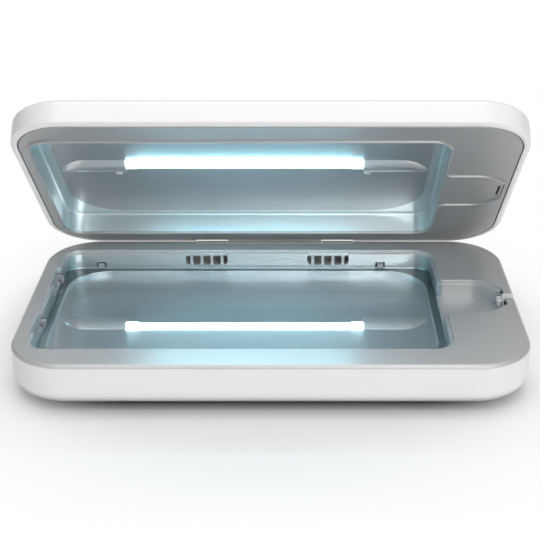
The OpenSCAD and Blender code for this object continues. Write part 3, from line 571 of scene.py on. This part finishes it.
@dataclass(frozen=True)
class Finish:
    """One procedural finish and the numbers that set it."""

    surface: Surface
    colour: tuple[float, float, float]
    edge: tuple[float, float, float]
    rough: tuple[float, float]
    metallic: float = 0.0
    grain: float = 1800.0
    wave: float = 0.3
    bump: float = 0.04
    mottle: float = 0.04
    wear: float = 0.5
    dust: float = 0.1
    # Amount of painted shade laid into closed-in places.
    crevice_shade: float = 0.0
    coat: float = 0.0
    glow: tuple[float, float, float] | None = None
    glow_strength: float = 0.0
    clear: float = 0.0
    ior: float = 1.5

    def build(self, effects: Effects) -> bpy.types.Material:
        """Makes the material.

        Args:
            effects: The shared shader groups.

        Returns:
            The finished material.
        """
        material = bpy.data.materials.new(self.surface.value + "_finish")
        material.use_nodes = True
        graph = Graph(material.node_tree)
        shader = material.node_tree.nodes["Principled BSDF"]
        grain = graph.group(effects.grain, Scale=self.grain, Wave=self.wave)
        bump = graph.add("Bump", {"Strength": self.bump, "Distance": GRAIN_DEPTH, "Height": grain})
        graph.feed(shader, {
            "Metallic": self.metallic,
            "IOR": self.ior,
            "Coat Weight": self.coat,
            "Coat Roughness": 0.12,
            "Transmission Weight": self.clear,
            "Roughness": graph.group(effects.sheen, Low=self.rough[0], High=self.rough[1], Scale=45.0),
            "Normal": bump.outputs[0],
            "Base Color": self._colour(graph, effects),
        })
        if self.clear:
            graph.feed(shader, {"Alpha": self._pass_light(graph)})
        if self.glow:
            graph.feed(shader, {"Emission Color": (*self.glow, 1.0), "Emission Strength": self.glow_strength})
        return material

    @staticmethod
    def _pass_light(graph: Graph) -> bpy.types.NodeSocket:
        """Lets light that isn't looked at go straight through the clear plate."""
        either = graph.add("Math", {0: graph.path("Shadow"), 1: graph.path("Diffuse")}, operation="MAXIMUM")
        return graph.ramp(either.outputs[0], wanted=(1.0, 0.08))

    def _colour(self, graph: Graph, effects: Effects) -> bpy.types.NodeSocket:
        """Base colour with slow mottling, and rubbed edges, dust and painted shade in closed-in places laid over
        it.
        """
        pale, dark = ([min(1.0, c * k) for c in self.colour] for k in (1 + self.mottle, 1 - self.mottle))
        colour = graph.mix(graph.noise(28.0, 5.0), dark, pale)
        colour = graph.mix(graph.group(effects.wear, Amount=self.wear, Scale=220.0), colour, self.edge)
        colour = graph.mix(graph.group(effects.dust, Amount=self.dust, Scale=90.0), colour, DUST)
        if not self.crevice_shade:
            return colour
        # Painted shade: closed-in places darkened towards 0.12 of the colour.
        crevice_shade = graph.group(effects.corners, Amount=self.crevice_shade, Scale=160.0)
        return graph.mix(crevice_shade, colour, [0.12 * c for c in self.colour])


FINISHES = (
    # crevice_shade darkens closed-in places as painted shade.
    Finish(Surface.SHELL, (0.82, 0.803, 0.803), (0.88, 0.87, 0.87), (0.30, 0.33), bump=0.03, mottle=0.003,
           wear=0.3, dust=0.01, crevice_shade=0.85, coat=0.15),
    Finish(Surface.LINER, (0.585, 0.585, 0.588), (0.55, 0.55, 0.56), (0.36, 0.42), metallic=0.5, grain=2600.0,
           bump=0.06, mottle=0.02, dust=0.03),
    # Lid rim: the liner's silver drawn darker as painted shade.
    Finish(Surface.SHADED_LID_RIM, (0.41, 0.412, 0.416), (0.48, 0.48, 0.49), (0.36, 0.42), metallic=0.5, grain=2600.0,
           bump=0.06, mottle=0.02, dust=0.03),
    # Plate clips: the soft white drawn grey as painted shade, with crevice shade on top.
    Finish(Surface.SHADED_CLIP, (0.46, 0.47, 0.48), (0.6, 0.6, 0.6), (0.5, 0.65), bump=0.12, dust=0.04, crevice_shade=0.9),
    Finish(Surface.COVER, (0.70, 0.70, 0.71), (0.8, 0.8, 0.8), (0.28, 0.34), metallic=0.85, grain=2600.0,
           bump=0.05, mottle=0.02, dust=0.02),
    # Chamber walls: the liner's silver made brighter and cyan as painted reflection of the lamps.
    Finish(Surface.LAMP_LIT_WALL, (0.76, 0.83, 0.84), (0.7, 0.71, 0.72), (0.31, 0.37), metallic=0.95, grain=2600.0,
           wave=0.1, bump=0.04, mottle=0.02, dust=0.03),
    Finish(Surface.SHEET, (0.50, 0.52, 0.54), (0.6, 0.6, 0.62), (0.36, 0.42), metallic=0.8, grain=1500.0,
           wave=0.2, bump=0.06, mottle=0.02, dust=0.02),
    Finish(Surface.QUARTZ, (0.95, 0.98, 0.99), (0.96, 1.0, 1.0), (0.02, 0.03), clear=1.0, ior=1.3, bump=0.005,
           mottle=0.005, wear=0.1, dust=0.0),
    Finish(Surface.LAMP, (0.80, 0.92, 1.0), (0.9, 0.97, 1.0), (0.08, 0.14), bump=0.01, mottle=0.02, wear=0.0,
           dust=0.0, glow=(0.42, 0.86, 1.0), glow_strength=17.5),
    Finish(Surface.LOW_LAMP, (0.80, 0.92, 1.0), (0.9, 0.97, 1.0), (0.08, 0.14), bump=0.01, mottle=0.02, wear=0.0,
           dust=0.0, glow=(0.62, 0.93, 1.0), glow_strength=3.5),
    # Lamp end caps: white plastic with a glow that is painted lamp light.
    Finish(Surface.GLOWING_CAP, (0.75, 0.78, 0.80), (0.8, 0.8, 0.78), (0.4, 0.5), bump=0.05, dust=0.02,
           glow=(0.6, 0.93, 1.0), glow_strength=5.0),
    Finish(Surface.SOFT_WHITE, (0.78, 0.78, 0.78), (0.85, 0.84, 0.82), (0.5, 0.65), bump=0.12, dust=0.04,
           crevice_shade=0.3),
    Finish(Surface.SOFT_DARK, (0.02, 0.02, 0.022), (0.07, 0.07, 0.07), (0.55, 0.75), bump=0.2, dust=0.1),
    Finish(Surface.STEEL, (0.52, 0.52, 0.53), (0.75, 0.75, 0.75), (0.22, 0.38), metallic=1.0, grain=1200.0),
    Finish(Surface.MAGNET, (0.60, 0.60, 0.62), (0.8, 0.8, 0.8), (0.12, 0.22), metallic=1.0),
    Finish(Surface.BRASS, (0.62, 0.44, 0.17), (0.8, 0.65, 0.35), (0.25, 0.4), metallic=1.0),
    Finish(Surface.BOARD, (0.012, 0.085, 0.035), (0.35, 0.25, 0.1), (0.3, 0.5), bump=0.15, mottle=0.3),
    Finish(Surface.BLACK, (0.016, 0.016, 0.018), (0.06, 0.06, 0.06), (0.35, 0.5), bump=0.15),
    Finish(Surface.LENS, (0.70, 0.73, 0.75), (0.8, 0.82, 0.84), (0.15, 0.25), coat=0.4, bump=0.02),
)


@dataclass
class Palette:
    """Every finish of the box, built once."""

    materials: dict[Surface, bpy.types.Material] = field(default_factory=dict)

    def __post_init__(self) -> None:
        """Builds the shared effects and then each finish."""
        effects = Effects()
        for finish in FINISHES:
            self.materials[finish.surface] = finish.build(effects)

    def dress(self, obj: bpy.types.Object, surface: Surface) -> None:
        """Gives an object one finish."""
        obj.data.materials.clear()
        obj.data.materials.append(self.materials[surface])

    def paint_lamp_light(self, obj: bpy.types.Object, matrix: np.ndarray, low: float, high: float) -> None:
        """Gives the faces inside the chamber, between two heights, a brighter cyan copy of the silver as painted
        lamp light.

        Args:
            obj: A dressed piece.
            matrix: Matrix from the body's own frame to the standing box.
            low: Least height from the rim, in millimetres.
            high: Greatest height from the rim.
        """
        mesh = obj.data
        mesh.materials.append(self.materials[Surface.LAMP_LIT_WALL])
        centres = np.empty(len(mesh.polygons) * 3)
        mesh.polygons.foreach_get("center", centres)
        back = np.linalg.inv(matrix)
        local = centres.reshape(-1, 3) / MM @ back[:3, :3].T + back[:3, 3]
        x0, x1, y0, y1 = CHAMBER
        inside = (local[:, 0] > x0) & (local[:, 0] < x1) & (local[:, 1] > y0) & (local[:, 1] < y1)
        inside &= (local[:, 2] > low) & (local[:, 2] < high)
        mesh.polygons.foreach_set("material_index", inside.astype(np.int32))


# ---------------- the box


@dataclass
class Dresser:
    """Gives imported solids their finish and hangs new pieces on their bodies."""

    frame: dict
    palette: Palette

    def solids(self) -> None:
        """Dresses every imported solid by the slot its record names."""
        for row in self.frame["record"]["subparts"]:
            self.palette.dress(self.frame["nodes"][row["node"]], Surface(row["material_slot"]))
        # The plate clips take the soft white drawn grey as painted shade.
        self.palette.dress(self.frame["nodes"]["plate_clips"], Surface.SHADED_CLIP)

    def hang(self, obj: bpy.types.Object, surface: Surface, body: Body, *nodes: str) -> None:
        """Dresses a new piece, lets it ride on a body and hides the solids it stands for."""
        self.palette.dress(obj, surface)
        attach(obj, body.value)
        if nodes:
            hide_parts(*nodes)
        LOG.info("piece %s: %d faces", obj.name, len(obj.data.polygons))


@dataclass
class BaseLiner:
    """Silver rim, step, chamber walls, plate shelf and cable pocket of the base."""

    edge_r: float = 0.45
    bevel: float = 1.0
    flange_t: float = 1.6
    skirt: float = 2.9
    wall_low: float = 9.4
    shelf: float = 10.1
    floor: float = 12.4
    pocket_depth: float = 8.0
    well_inset: float = 5.0
    well_r: float = 20.0
    block_x1: float = 110.6
    rear_vents: tuple[float, float] = (-34.35, 27.15)
    side_vents: tuple[float, float] = (-24.1, 24.1)
    vent_widths: tuple[float, float] = (21.0, 22.0)
    clip_slots: tuple[float, float] = (-87.8, 53.7)
    slot_half: float = 2.3
    notch_half: float = 40.5

    def parts(self) -> list[Skin]:
        """Closed rings: rim with step, lower chamber wall with shelf, pocket floor and slot block."""
        body, opening = matched([body_plan(), opening_plan()], (CHAMBER_MID[0], POCKET_Y))
        e = self.edge_r
        outside = np.vstack((
            [[1.7, -self.flange_t], [0.0, -self.flange_t]],
            round_profile(0.35, -self.bevel - 0.12, 0.35, 180, 140, 4),
            round_profile(self.bevel + 0.25, -0.4, 0.4, 128, 90, 4)))
        inside = np.vstack((
            round_profile(-e, -e, e, 90, 0, 6),
            round_profile(0.2, -STEP + 0.2, 0.2, 180, 270, 4),
            round_profile(STEP - 0.35, -STEP - 0.35, 0.35, 90, 0, 5),
            [[STEP, -self.wall_low], [0.0, -self.wall_low], [0.0, -self.skirt],
             [-STEP, -self.skirt], [-STEP, -self.flange_t]]))
        rim = np.concatenate((rings(body, outside), rings(opening, inside)))
        x0, x1, y0, y1 = CHAMBER
        w = self.well_inset
        well = rounded_plan(x0 + w, x1 - w, y0 + w, y1 - w, self.well_r)
        chamber, well = matched([chamber_plan(), well], CHAMBER_MID)
        wall = np.array([[0.0, -self.wall_low], [STEP, -self.wall_low], [STEP, -self.shelf]])
        ledge = np.vstack((round_profile(-0.2, -self.shelf - 0.2, 0.2, 90, 0, 3), [[0.0, -self.floor]]))
        base = np.array([[0.0, -self.floor]])
        lower = np.concatenate((rings(chamber, wall), rings(well, ledge), rings(chamber, base)))
        parts = [Skin().grid(rim, wrap_u=True), Skin().grid(lower, wrap_u=True), *self._pocket()]
        return [part.moved(base_matrix()) for part in parts]

    def _pocket(self) -> list[Skin]:
        """Pocket floor with its rounded lip at the chamber, and the block beside the slot."""
        rows = opening_plan().rows
        rows = np.vstack((rows[-38:], rows[:38]))
        right = rows[np.abs(rows[:, 1] - POCKET_Y) < POCKET_HALF + 0.2]
        inner = right[:, :2] - (STEP - 0.15) * right[:, 2:]
        mouth = CHAMBER[1] - STEP
        outline = np.vstack(([[mouth, inner[0, 1]]], inner, [[mouth, inner[-1, 1]]]))
        plan = np.column_stack((outline, np.zeros(len(outline))))
        inward = np.zeros_like(plan)
        inward[[0, -1], 0] = 0.35
        turn = np.radians(np.linspace(90, 0, 5))
        path = [(0.0, -self.wall_low - 0.1)]
        path += [(1 - math.cos(a), -self.pocket_depth - 0.35 * (1 - math.sin(a))) for a in turn[::-1]]
        layers = np.stack([plan + inward * s + np.array([0, 0, z]) for s, z in path])
        floor = Skin().grid(layers).cap(layers[0]).cap(layers[-1])
        x0, y0, y1 = POCKET_X1 - STEP + 0.05, POCKET_Y - 10.0, POCKET_Y + 10.0
        return [floor, block(x0, self.block_x1, y0, y1, -self.skirt - 5.0, -STEP - 0.02)]

    def cutters(self) -> list[Skin]:
        """Vents, clip slots, cable slot, guard grooves and the notch for the hinge."""
        out, rear, above = [], CHAMBER[3], RIM_Z + 5
        spots = [(x, rear, 0.0, self.vent_widths[0]) for x in self.rear_vents]
        spots += [(CHAMBER[0], CHAMBER_MID[1] + y, 90.0, self.vent_widths[1]) for y in self.side_vents]
        for x, y, degrees, width in spots:
            out += [tool.moved(shift_turn(x, y, degrees)) for tool in vent_cutters(width)]
        for x in self.clip_slots:
            out.append(block(x - 2.4, x + 2.4, rear - 2.5, rear + 0.5, RIM_Z - 8.7, RIM_Z - 6.0))
        s = self.slot_half
        out.append(block(105.1, 130, POCKET_Y - s, POCKET_Y + s, RIM_Z - 4.6, above))
        for y0, y1 in ((-8.0, -2.9), (2.9, 8.0)):
            out.append(block(107.6, 108.5, POCKET_Y + y0, POCKET_Y + y1, RIM_Z - 3, above))
        out.append(block(-self.notch_half, self.notch_half, NOTCH_Y, 80, RIM_Z - 6.6, above))
        return out


def shift_turn(x: float, y: float, degrees: float) -> np.ndarray:
    """Matrix that turns about the vertical and then shifts to a place at rim height."""
    a = math.radians(degrees)
    out = np.eye(4)
    out[:2, :2] = [[math.cos(a), -math.sin(a)], [math.sin(a), math.cos(a)]]
    out[:3, 3] = (x, y, RIM_Z)
    return out


def vent_cutters(width: float) -> list[Skin]:
    """Recess of one vent, a slab with rounded lower corners, and the opening behind it."""
    r, bottom, half = 1.9, 7.4, width / 2
    left = arc(-half + r, -bottom + r, r, 180, 270, 9)[:, :2]
    right = arc(half - r, -bottom + r, r, 270, 360, 9)[:, :2]
    sides = np.vstack((left, right, [[half, 2.0], [-half, 2.0]]))
    ring = np.column_stack((sides[:, 0], np.zeros(len(sides)), sides[:, 1]))
    low = ring.copy()
    low[-2:, 2] = -2.86
    return [Skin().tube(ring, np.array([[0, -3.0, 0], [0, -0.01, 0]])),
            Skin().tube(low, np.array([[0, -1.0, 0], [0, 0.6, 0]]))]


@dataclass
class LidShell:
    """White shell of the lid: bevelled edge, straight side, low crown, hinge barrel and web."""

    edge_r: float = 2.6
    side: float = 9.4
    land: float = 2.9
    flange_t: float = 1.6
    wall: float = 1.8
    skin_t: float = 1.4
    knuckle_x: float = 32.3
    light_r: float = 2.55

    def parts(self) -> list[Skin]:
        """The shell as one closed ring of outside, top, inside and liner seat, and the hinge."""
        outer = np.vstack((
            [[5.5, 3.0], [5.5, self.flange_t], [self.land, self.flange_t]],
            round_profile(self.land - 0.25, 0.25, 0.25, 0, -90, 4),
            round_profile(1.7, 0.45, 0.45, -90, -120, 4),
            round_profile(0.5, 1.15, 0.5, -120, -180, 4),
            self._crown(0.0, self.edge_r, self.side, LID_H)))
        inner = np.vstack((
            self._crown(self.wall, self.edge_r - self.wall, self.side + 0.4, LID_H - self.skin_t)[::-1],
            [[self.wall, 3.0]]))
        loop = body_plan()
        shell = rings(loop, outer)
        hollow = rings(loop, inner)
        near, middle = np.array([0.6, 0.6, 1.0]), np.array([0.0, 0.0, 1.0])
        skin = Skin().grid(np.concatenate((shell, shell[-1:] * near, shell[-1:] * middle)))
        skin.grid(np.concatenate((hollow[:1] * middle, hollow[:1] * near, hollow, shell[:1])))
        return [part.moved(lid_matrix()) for part in (skin, *self._barrel())]

    @staticmethod
    def _crown(wall: float, edge: float, side: float, top: float) -> np.ndarray:
        """Rounded edge and crown of the lid, from its side to its flat middle.

        The crown is one arc that touches the edge's round and is level at the
        end of the corner radius: with reach the corner radius less wall and rise
        from side to top, its radius is ((reach - edge) squared + rise squared -
        edge squared) / (2 (rise - edge)).

        Args:
            wall: Inset of the side.
            edge: Radius of the rounded edge.
            side: Height where the edge begins.
            top: Height of the flat middle.

        Returns:
            Rows of inset and height.
        """
        reach, rise = CORNER_R - wall, top - side
        r = ((reach - edge) ** 2 + rise ** 2 - edge ** 2) / (2 * (rise - edge))
        slope = math.degrees(math.asin((reach - edge) / (r - edge)))
        return np.vstack((round_profile(wall + edge, side, edge, 180, 90 + slope, 10),
                          round_profile(CORNER_R, top - r, r, 90 + slope, 90, 14)[1:]))

    @staticmethod
    def _barrel() -> list[Skin]:
        """Hinge barrel, a bored cylinder along X, and the web that carries it."""
        a = np.linspace(0, 2 * np.pi, 48, endpoint=False)
        circle = np.column_stack((np.zeros(48), np.cos(a), np.sin(a)))
        centre = np.array([0.0, HINGE_Y, -LID_RISE])
        rows = [(-23.8, 1.04), (-23.8, 2.2), (-23.6, 2.4), (23.6, 2.4), (23.8, 2.2), (23.8, 1.04)]
        tube = np.stack([centre + circle * r + np.array([x * 24 / 23.8, 0, 0]) for x, r in rows])
        side = np.vstack(([[63.7, 0.9]], arc(64.0, -LID_RISE + 1.2, 0.3, 180, 270, 4)[:, :2],
                          [[BODY_D / 2, -LID_RISE + 0.9], [BODY_D / 2, 0.9]]))
        ring = np.column_stack((np.zeros(len(side)), side))
        return [Skin().grid(tube, wrap_u=True), Skin().tube(ring, np.array([[-24.0, 0, 0], [24.0, 0, 0]]))]

    def cutters(self) -> list[Skin]:
        """Notches over the base knuckles and the hole of the status light."""
        out = [block(x - 8.3, x + 8.3, NOTCH_Y, 70, -1.2, 1.2) for x in (-self.knuckle_x, self.knuckle_x)]
        a = np.linspace(0, 2 * np.pi, 48, endpoint=False)
        ring = np.column_stack((self.light_r * np.cos(a), STATUS_Y + self.light_r * np.sin(a), np.zeros(48)))
        out.append(Skin().tube(ring, np.array([[0, 0, 13.4], [0, 0, 20.0]])))
        return [tool.moved(lid_matrix()) for tool in out]


@dataclass
class LidLiner:
    """Silver liner of the lid: rim, cavity with a soft inner corner, and the bead."""

    inset: float = 3.4
    flange_t: float = 1.6
    depth: float = 10.3
    wall: float = 1.2

    def parts(self) -> list[Skin]:
        """Closed ring from the rim into the cavity and back, with the lamp window, and the bead."""
        x0, x1, y0, y1 = LAMP_X - 56.2, LAMP_X + 56.2, LAMP_Y - 3.95, LAMP_Y + 3.95
        window = rounded_plan(x0, x1, y0, y1, 0.4, 3)
        body, chamber, window = matched([body_plan(), chamber_plan(), window], (LAMP_X, LAMP_Y))
        outside = np.vstack((
            [[self.inset, self.flange_t]], round_profile(self.inset + 0.35, 0.35, 0.35, 180, 270, 4)))
        cavity = np.vstack((
            round_profile(STEP - 0.4, 0.4, 0.4, 270, 360, 5),
            round_profile(STEP + 1.0, self.depth - 1.0, 1.0, 180, 90, 6)))
        hole = np.array([[0.0, self.depth], [0.0, self.depth + 1.0]])
        back = np.array([[STEP - self.wall, self.depth + 1.0], [STEP - self.wall, self.flange_t]])
        pairs = ((body, outside), (chamber, cavity), (window, hole), (chamber, back))
        points = np.concatenate([rings(loop, profile) for loop, profile in pairs])
        return [part.moved(lid_matrix()) for part in (Skin().grid(points, wrap_u=True), self._bead())]

    @staticmethod
    def _bead() -> Skin:
        """Bead: a half ellipse carried along the opening, open at the pocket's end."""
        rows = opening_plan().rows
        a = np.radians(np.linspace(0, 180, 9))
        profile = np.column_stack((0.875 - 0.575 * np.cos(a), -1.0 * np.sin(a)))
        profile = np.vstack(([[0.3, 0.15]], profile, [[1.45, 0.15]]))
        points = rings(Loop(rows), profile).transpose(1, 0, 2)
        return Skin().grid(points).cap(points[0]).cap(points[-1])

    def cutters(self) -> list[Skin]:
        """Seat of the dark cable strip and the groove beside it."""
        seat = block(104.8, 106.1, POCKET_Y - 5, POCKET_Y + 5, -1, 1.2)
        groove = block(106.9, 107.7, POCKET_Y - 7.6, POCKET_Y + 7.6, -1, 0.6)
        return [seat.moved(lid_matrix()), groove.moved(lid_matrix())]


@dataclass
class LampCover:
    """Low crowned cover beside a lamp, straight behind and drawn to a point in front."""

    start: float
    length: float
    sign: float
    width: float = 12.4
    height: float = 1.9
    nose: float = 13.8

    def skin(self) -> Skin:
        """Grid of stations along the cover by points across it.

        Across, the height is a flat round segment. Along the nose, with t the
        share of its length, width and height shrink by (1 - t * t) to the power 0.65.
        """
        t = np.sin(np.linspace(0, np.pi / 2, 17))
        x = np.concatenate(([0.0, 0.35], self.length - self.nose * (1 - t)))
        k = np.concatenate(([1.0, 1.0], np.maximum(1 - t * t, 1e-6) ** 0.65))
        r = (self.width ** 2 / 4 + self.height ** 2) / (2 * self.height)
        half = math.asin(self.width / 2 / r)
        a = np.linspace(-half, half, 25)
        y = self.width / 2 - k[:, None] * (self.width / 2 + r * np.sin(a))[None]
        z = k[:, None] * (r * (np.cos(a) - math.cos(half)))[None]
        crown = np.stack((np.broadcast_to(x[:, None], y.shape), y, z), axis=2)
        points = np.concatenate((crown, crown[:, ::-1] * np.array([1, 1, 0.0])), axis=1)
        points[:, :, 0] *= self.sign
        return Skin().grid(points).cap(points[0])

    def placed(self, matrix: np.ndarray, face_z: float, flip: bool) -> Skin:
        """Puts the cover on a reflector face, turned over for the lid."""
        seat = np.diag([1.0, 1.0, -1.0 if flip else 1.0, 1.0])
        seat[:3, 3] = (self.start, COVER_Y, face_z)
        return self.skin().moved(seat).moved(matrix)


@dataclass
class Lamp:
    """Glass tube with drawn-in ends, glowing from end to end."""

    half: float = 51.2
    radius: float = 2.9

    def skin(self, matrix: np.ndarray, z: float) -> Skin:
        """Tube about X: the radius stays even and falls on a quarter round at both ends."""
        s = np.linspace(0, np.pi / 2, 6)
        end_x = self.half - 0.8 + 0.8 * np.sin(s)
        end_r = self.radius - 0.8 + 0.8 * np.cos(s)
        x = np.concatenate((-end_x[::-1], np.linspace(-self.half + 1.2, self.half - 1.2, 24), end_x))
        r = np.concatenate((end_r[::-1], np.full(24, self.radius), end_r))
        a = np.linspace(0, 2 * np.pi, 40, endpoint=False)
        along = np.broadcast_to(x[:, None], (len(x), len(a)))
        points = np.stack((along, r[:, None] * np.cos(a), r[:, None] * np.sin(a)), axis=2)
        seat = np.eye(4)
        seat[:3, 3] = (LAMP_X, LAMP_Y, z)
        return Skin().grid(points).cap(points[0]).cap(points[-1]).moved(seat).moved(matrix)


@dataclass
class BoxBase:
    """The base half as it is seen."""

    dresser: Dresser
    liner: BaseLiner = field(default_factory=BaseLiner)
    lamp: Lamp = field(default_factory=Lamp)
    lamp_z: float = -13.6

    def build(self) -> None:
        """Builds the base's visible surfaces."""
        liner = place(self.liner.parts(), "base_liner_surface", self.liner.cutters())
        self.dresser.hang(liner, Surface.LINER, Body.BASE, "base_liner")
        self.dresser.palette.paint_lamp_light(liner, base_matrix(), -self.liner.floor - 0.5, -STEP - 0.3)
        for name, sizes in COVERS.items():
            cover = LampCover(*sizes).placed(base_matrix(), -self.liner.floor, False)
            obj = place([cover], f"lower_cover_{name}_surface")
            self.dresser.hang(obj, Surface.COVER, Body.BASE, f"lower_cover_{name}")
        tube = place([self.lamp.skin(base_matrix(), self.lamp_z)], "lower_lamp_glass")
        self.dresser.hang(tube, Surface.LOW_LAMP, Body.BASE, "lower_lamp_tube")


@dataclass
class BoxLid:
    """The lid half as it is seen."""

    dresser: Dresser
    shell: LidShell = field(default_factory=LidShell)
    liner: LidLiner = field(default_factory=LidLiner)
    lamp: Lamp = field(default_factory=Lamp)
    cover_z: float = 9.8
    lamp_z: float = 10.5

    def build(self) -> None:
        """Builds the lid's visible surfaces."""
        shell = place(self.shell.parts(), "lid_shell_surface", self.shell.cutters())
        self.dresser.hang(shell, Surface.SHELL, Body.LID, "lid_shell")
        liner = place(self.liner.parts(), "lid_liner_surface", self.liner.cutters())
        self.dresser.hang(liner, Surface.SHADED_LID_RIM, Body.LID, "lid_liner")
        self.dresser.palette.paint_lamp_light(liner, lid_matrix(), 0.45, self.liner.depth + 0.5)
        for name, sizes in COVERS.items():
            obj = place([LampCover(*sizes).placed(lid_matrix(), self.cover_z, True)], f"lamp_cover_{name}_surface")
            self.dresser.hang(obj, Surface.COVER, Body.LID, f"lamp_cover_{name}")
        tube = place([self.lamp.skin(lid_matrix(), self.lamp_z)], "upper_lamp_glass")
        self.dresser.hang(tube, Surface.LAMP, Body.LID, "upper_lamp_tube")


# ---------------- the studio


@dataclass
class Studio:
    """Floor, lights and the camera at the photograph's angle."""

    floor_colour: tuple[float, float, float] = (0.97, 0.97, 0.97)
    shadow_colour: tuple[float, float, float] = (0.15, 0.15, 0.15)
    shadow_reach: float = 0.18
    shadow_power: tuple[float, float] = (0.3, 1.25)
    shadow_from: tuple[float, float] = (-0.03, -0.07)
    bounce: float = 0.93
    fade_shape: tuple[float, float, float] = (1.1, 1.0, 0.0)
    fade_from: tuple[float, float] = (0.09, 0.2)
    ambient: float = 0.25
    aim: tuple[float, float, float] = (0.0, 0.0, 0.04)

    def build(self) -> None:
        """Builds the floor, the lamps, the world and the camera."""
        self._floor()
        self._world()
        self._light("top", (0.0, 0.1, 1.4), 12.3)
        self._light("front", (0.6, -1.4, 0.98), 16.0)
        self._camera()

    def _floor(self) -> None:
        """Wide plain sheet that the box stands on."""
        grid = np.linspace(-3000.0, 3000.0, 13)
        x, y = np.meshgrid(grid, grid, indexing="ij")
        skin = Skin().grid(np.stack((x, y, np.zeros_like(x)), axis=2), wrap_v=False)
        floor = linked("floor", to_mesh(skin, "floor"))
        material = bpy.data.materials.new("floor_paper")
        material.use_nodes = True
        graph, nodes = Graph(material.node_tree), material.node_tree.nodes
        shader = nodes["Principled BSDF"]
        graph.feed(shader, {"Roughness": 0.8, "Specular IOR Level": 0.1, "Base Color": self._contact(graph)})
        graph.feed(nodes["Material Output"], {"Surface": self._fade(graph, shader.outputs[0])})
        floor.data.materials.append(material)

    def _contact(self, graph: Graph) -> bpy.types.NodeSocket:
        """Colour of the paper with a painted contact shadow: for the camera, darker where the box closes it in.

        The openness of each place is raised to a power that grows towards the
        front, so that the paper behind the box stays pale.
        """
        front = graph.add("SeparateXYZ", {0: graph.place()}).outputs["Y"]
        power = graph.ramp(front, self.shadow_from, self.shadow_power)
        around = graph.add("AmbientOcclusion", {"Distance": self.shadow_reach})
        deep = graph.add("Math", {0: around.outputs["AO"], 1: power}, operation="POWER")
        seen = graph.add("Mix", {0: graph.path("Camera"), 2: self.bounce, 3: deep.outputs[0]})
        return graph.mix(seen.outputs[0], self.shadow_colour, self.floor_colour)

    def _fade(self, graph: Graph, surface: bpy.types.NodeSocket) -> bpy.types.NodeSocket:
        """Lets the paper turn plain white for the camera, away from the box."""
        flat = graph.add("VectorMath", {0: graph.place(), 1: self.fade_shape}, operation="MULTIPLY")
        far = graph.add("VectorMath", {0: flat.outputs[0]}, operation="LENGTH")
        white = graph.ramp(far.outputs["Value"], self.fade_from, interpolation_type="SMOOTHSTEP")
        share = graph.times(white, graph.path("Camera"))
        return graph.add("MixShader", {0: share, 1: surface, 2: graph.add("Emission").outputs[0]}).outputs[0]

    def _world(self) -> None:
        """Even light from all round, and white where the camera looks past the floor."""
        world = bpy.data.worlds.new("studio")
        world.use_nodes = True
        bpy.context.scene.world = world
        graph = Graph(world.node_tree)
        strength = graph.ramp(graph.path("Camera"), wanted=(self.ambient, 1.0))
        graph.feed(world.node_tree.nodes["Background"], {"Color": (1.0, 1.0, 1.0, 1.0), "Strength": strength})

    def _light(self, name: str, at: tuple[float, float, float], power: float, size: float = 1.2) -> None:
        """Square soft lamp that looks at the box."""
        data = bpy.data.lights.new(name, "AREA")
        data.shape, data.size, data.energy = "SQUARE", size, power
        obj = linked(name, data)
        obj.location = at
        obj.rotation_euler = (Vector(self.aim) - Vector(at)).to_track_quat("-Z", "Y").to_euler()

    @staticmethod
    def _camera() -> None:
        """Camera 24.6 degrees above the level, as in the photograph."""
        data = bpy.data.cameras.new("view")
        data.sensor_width, data.lens = 36.0, 81.87
        data.shift_x, data.shift_y = -0.0481, 0.0
        data.clip_start, data.clip_end = 0.01, 20.0
        obj = linked("view", data)
        obj.location = (0.01095, -0.5166, RIM_Z * MM + 0.2502)
        obj.rotation_euler = (math.radians(90 - 24.6), 0.0, 0.0)
        bpy.context.scene.camera = obj


def main() -> None:
    """Builds the box and the studio round it."""
    logging.basicConfig(level=logging.INFO)
    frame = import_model()
    dresser = Dresser(frame, Palette())
    dresser.solids()
    BoxBase(dresser).build()
    BoxLid(dresser).build()
    Studio().build()
    bpy.context.scene.view_settings.view_transform = "Standard"


if __name__ == "__main__":
    main()
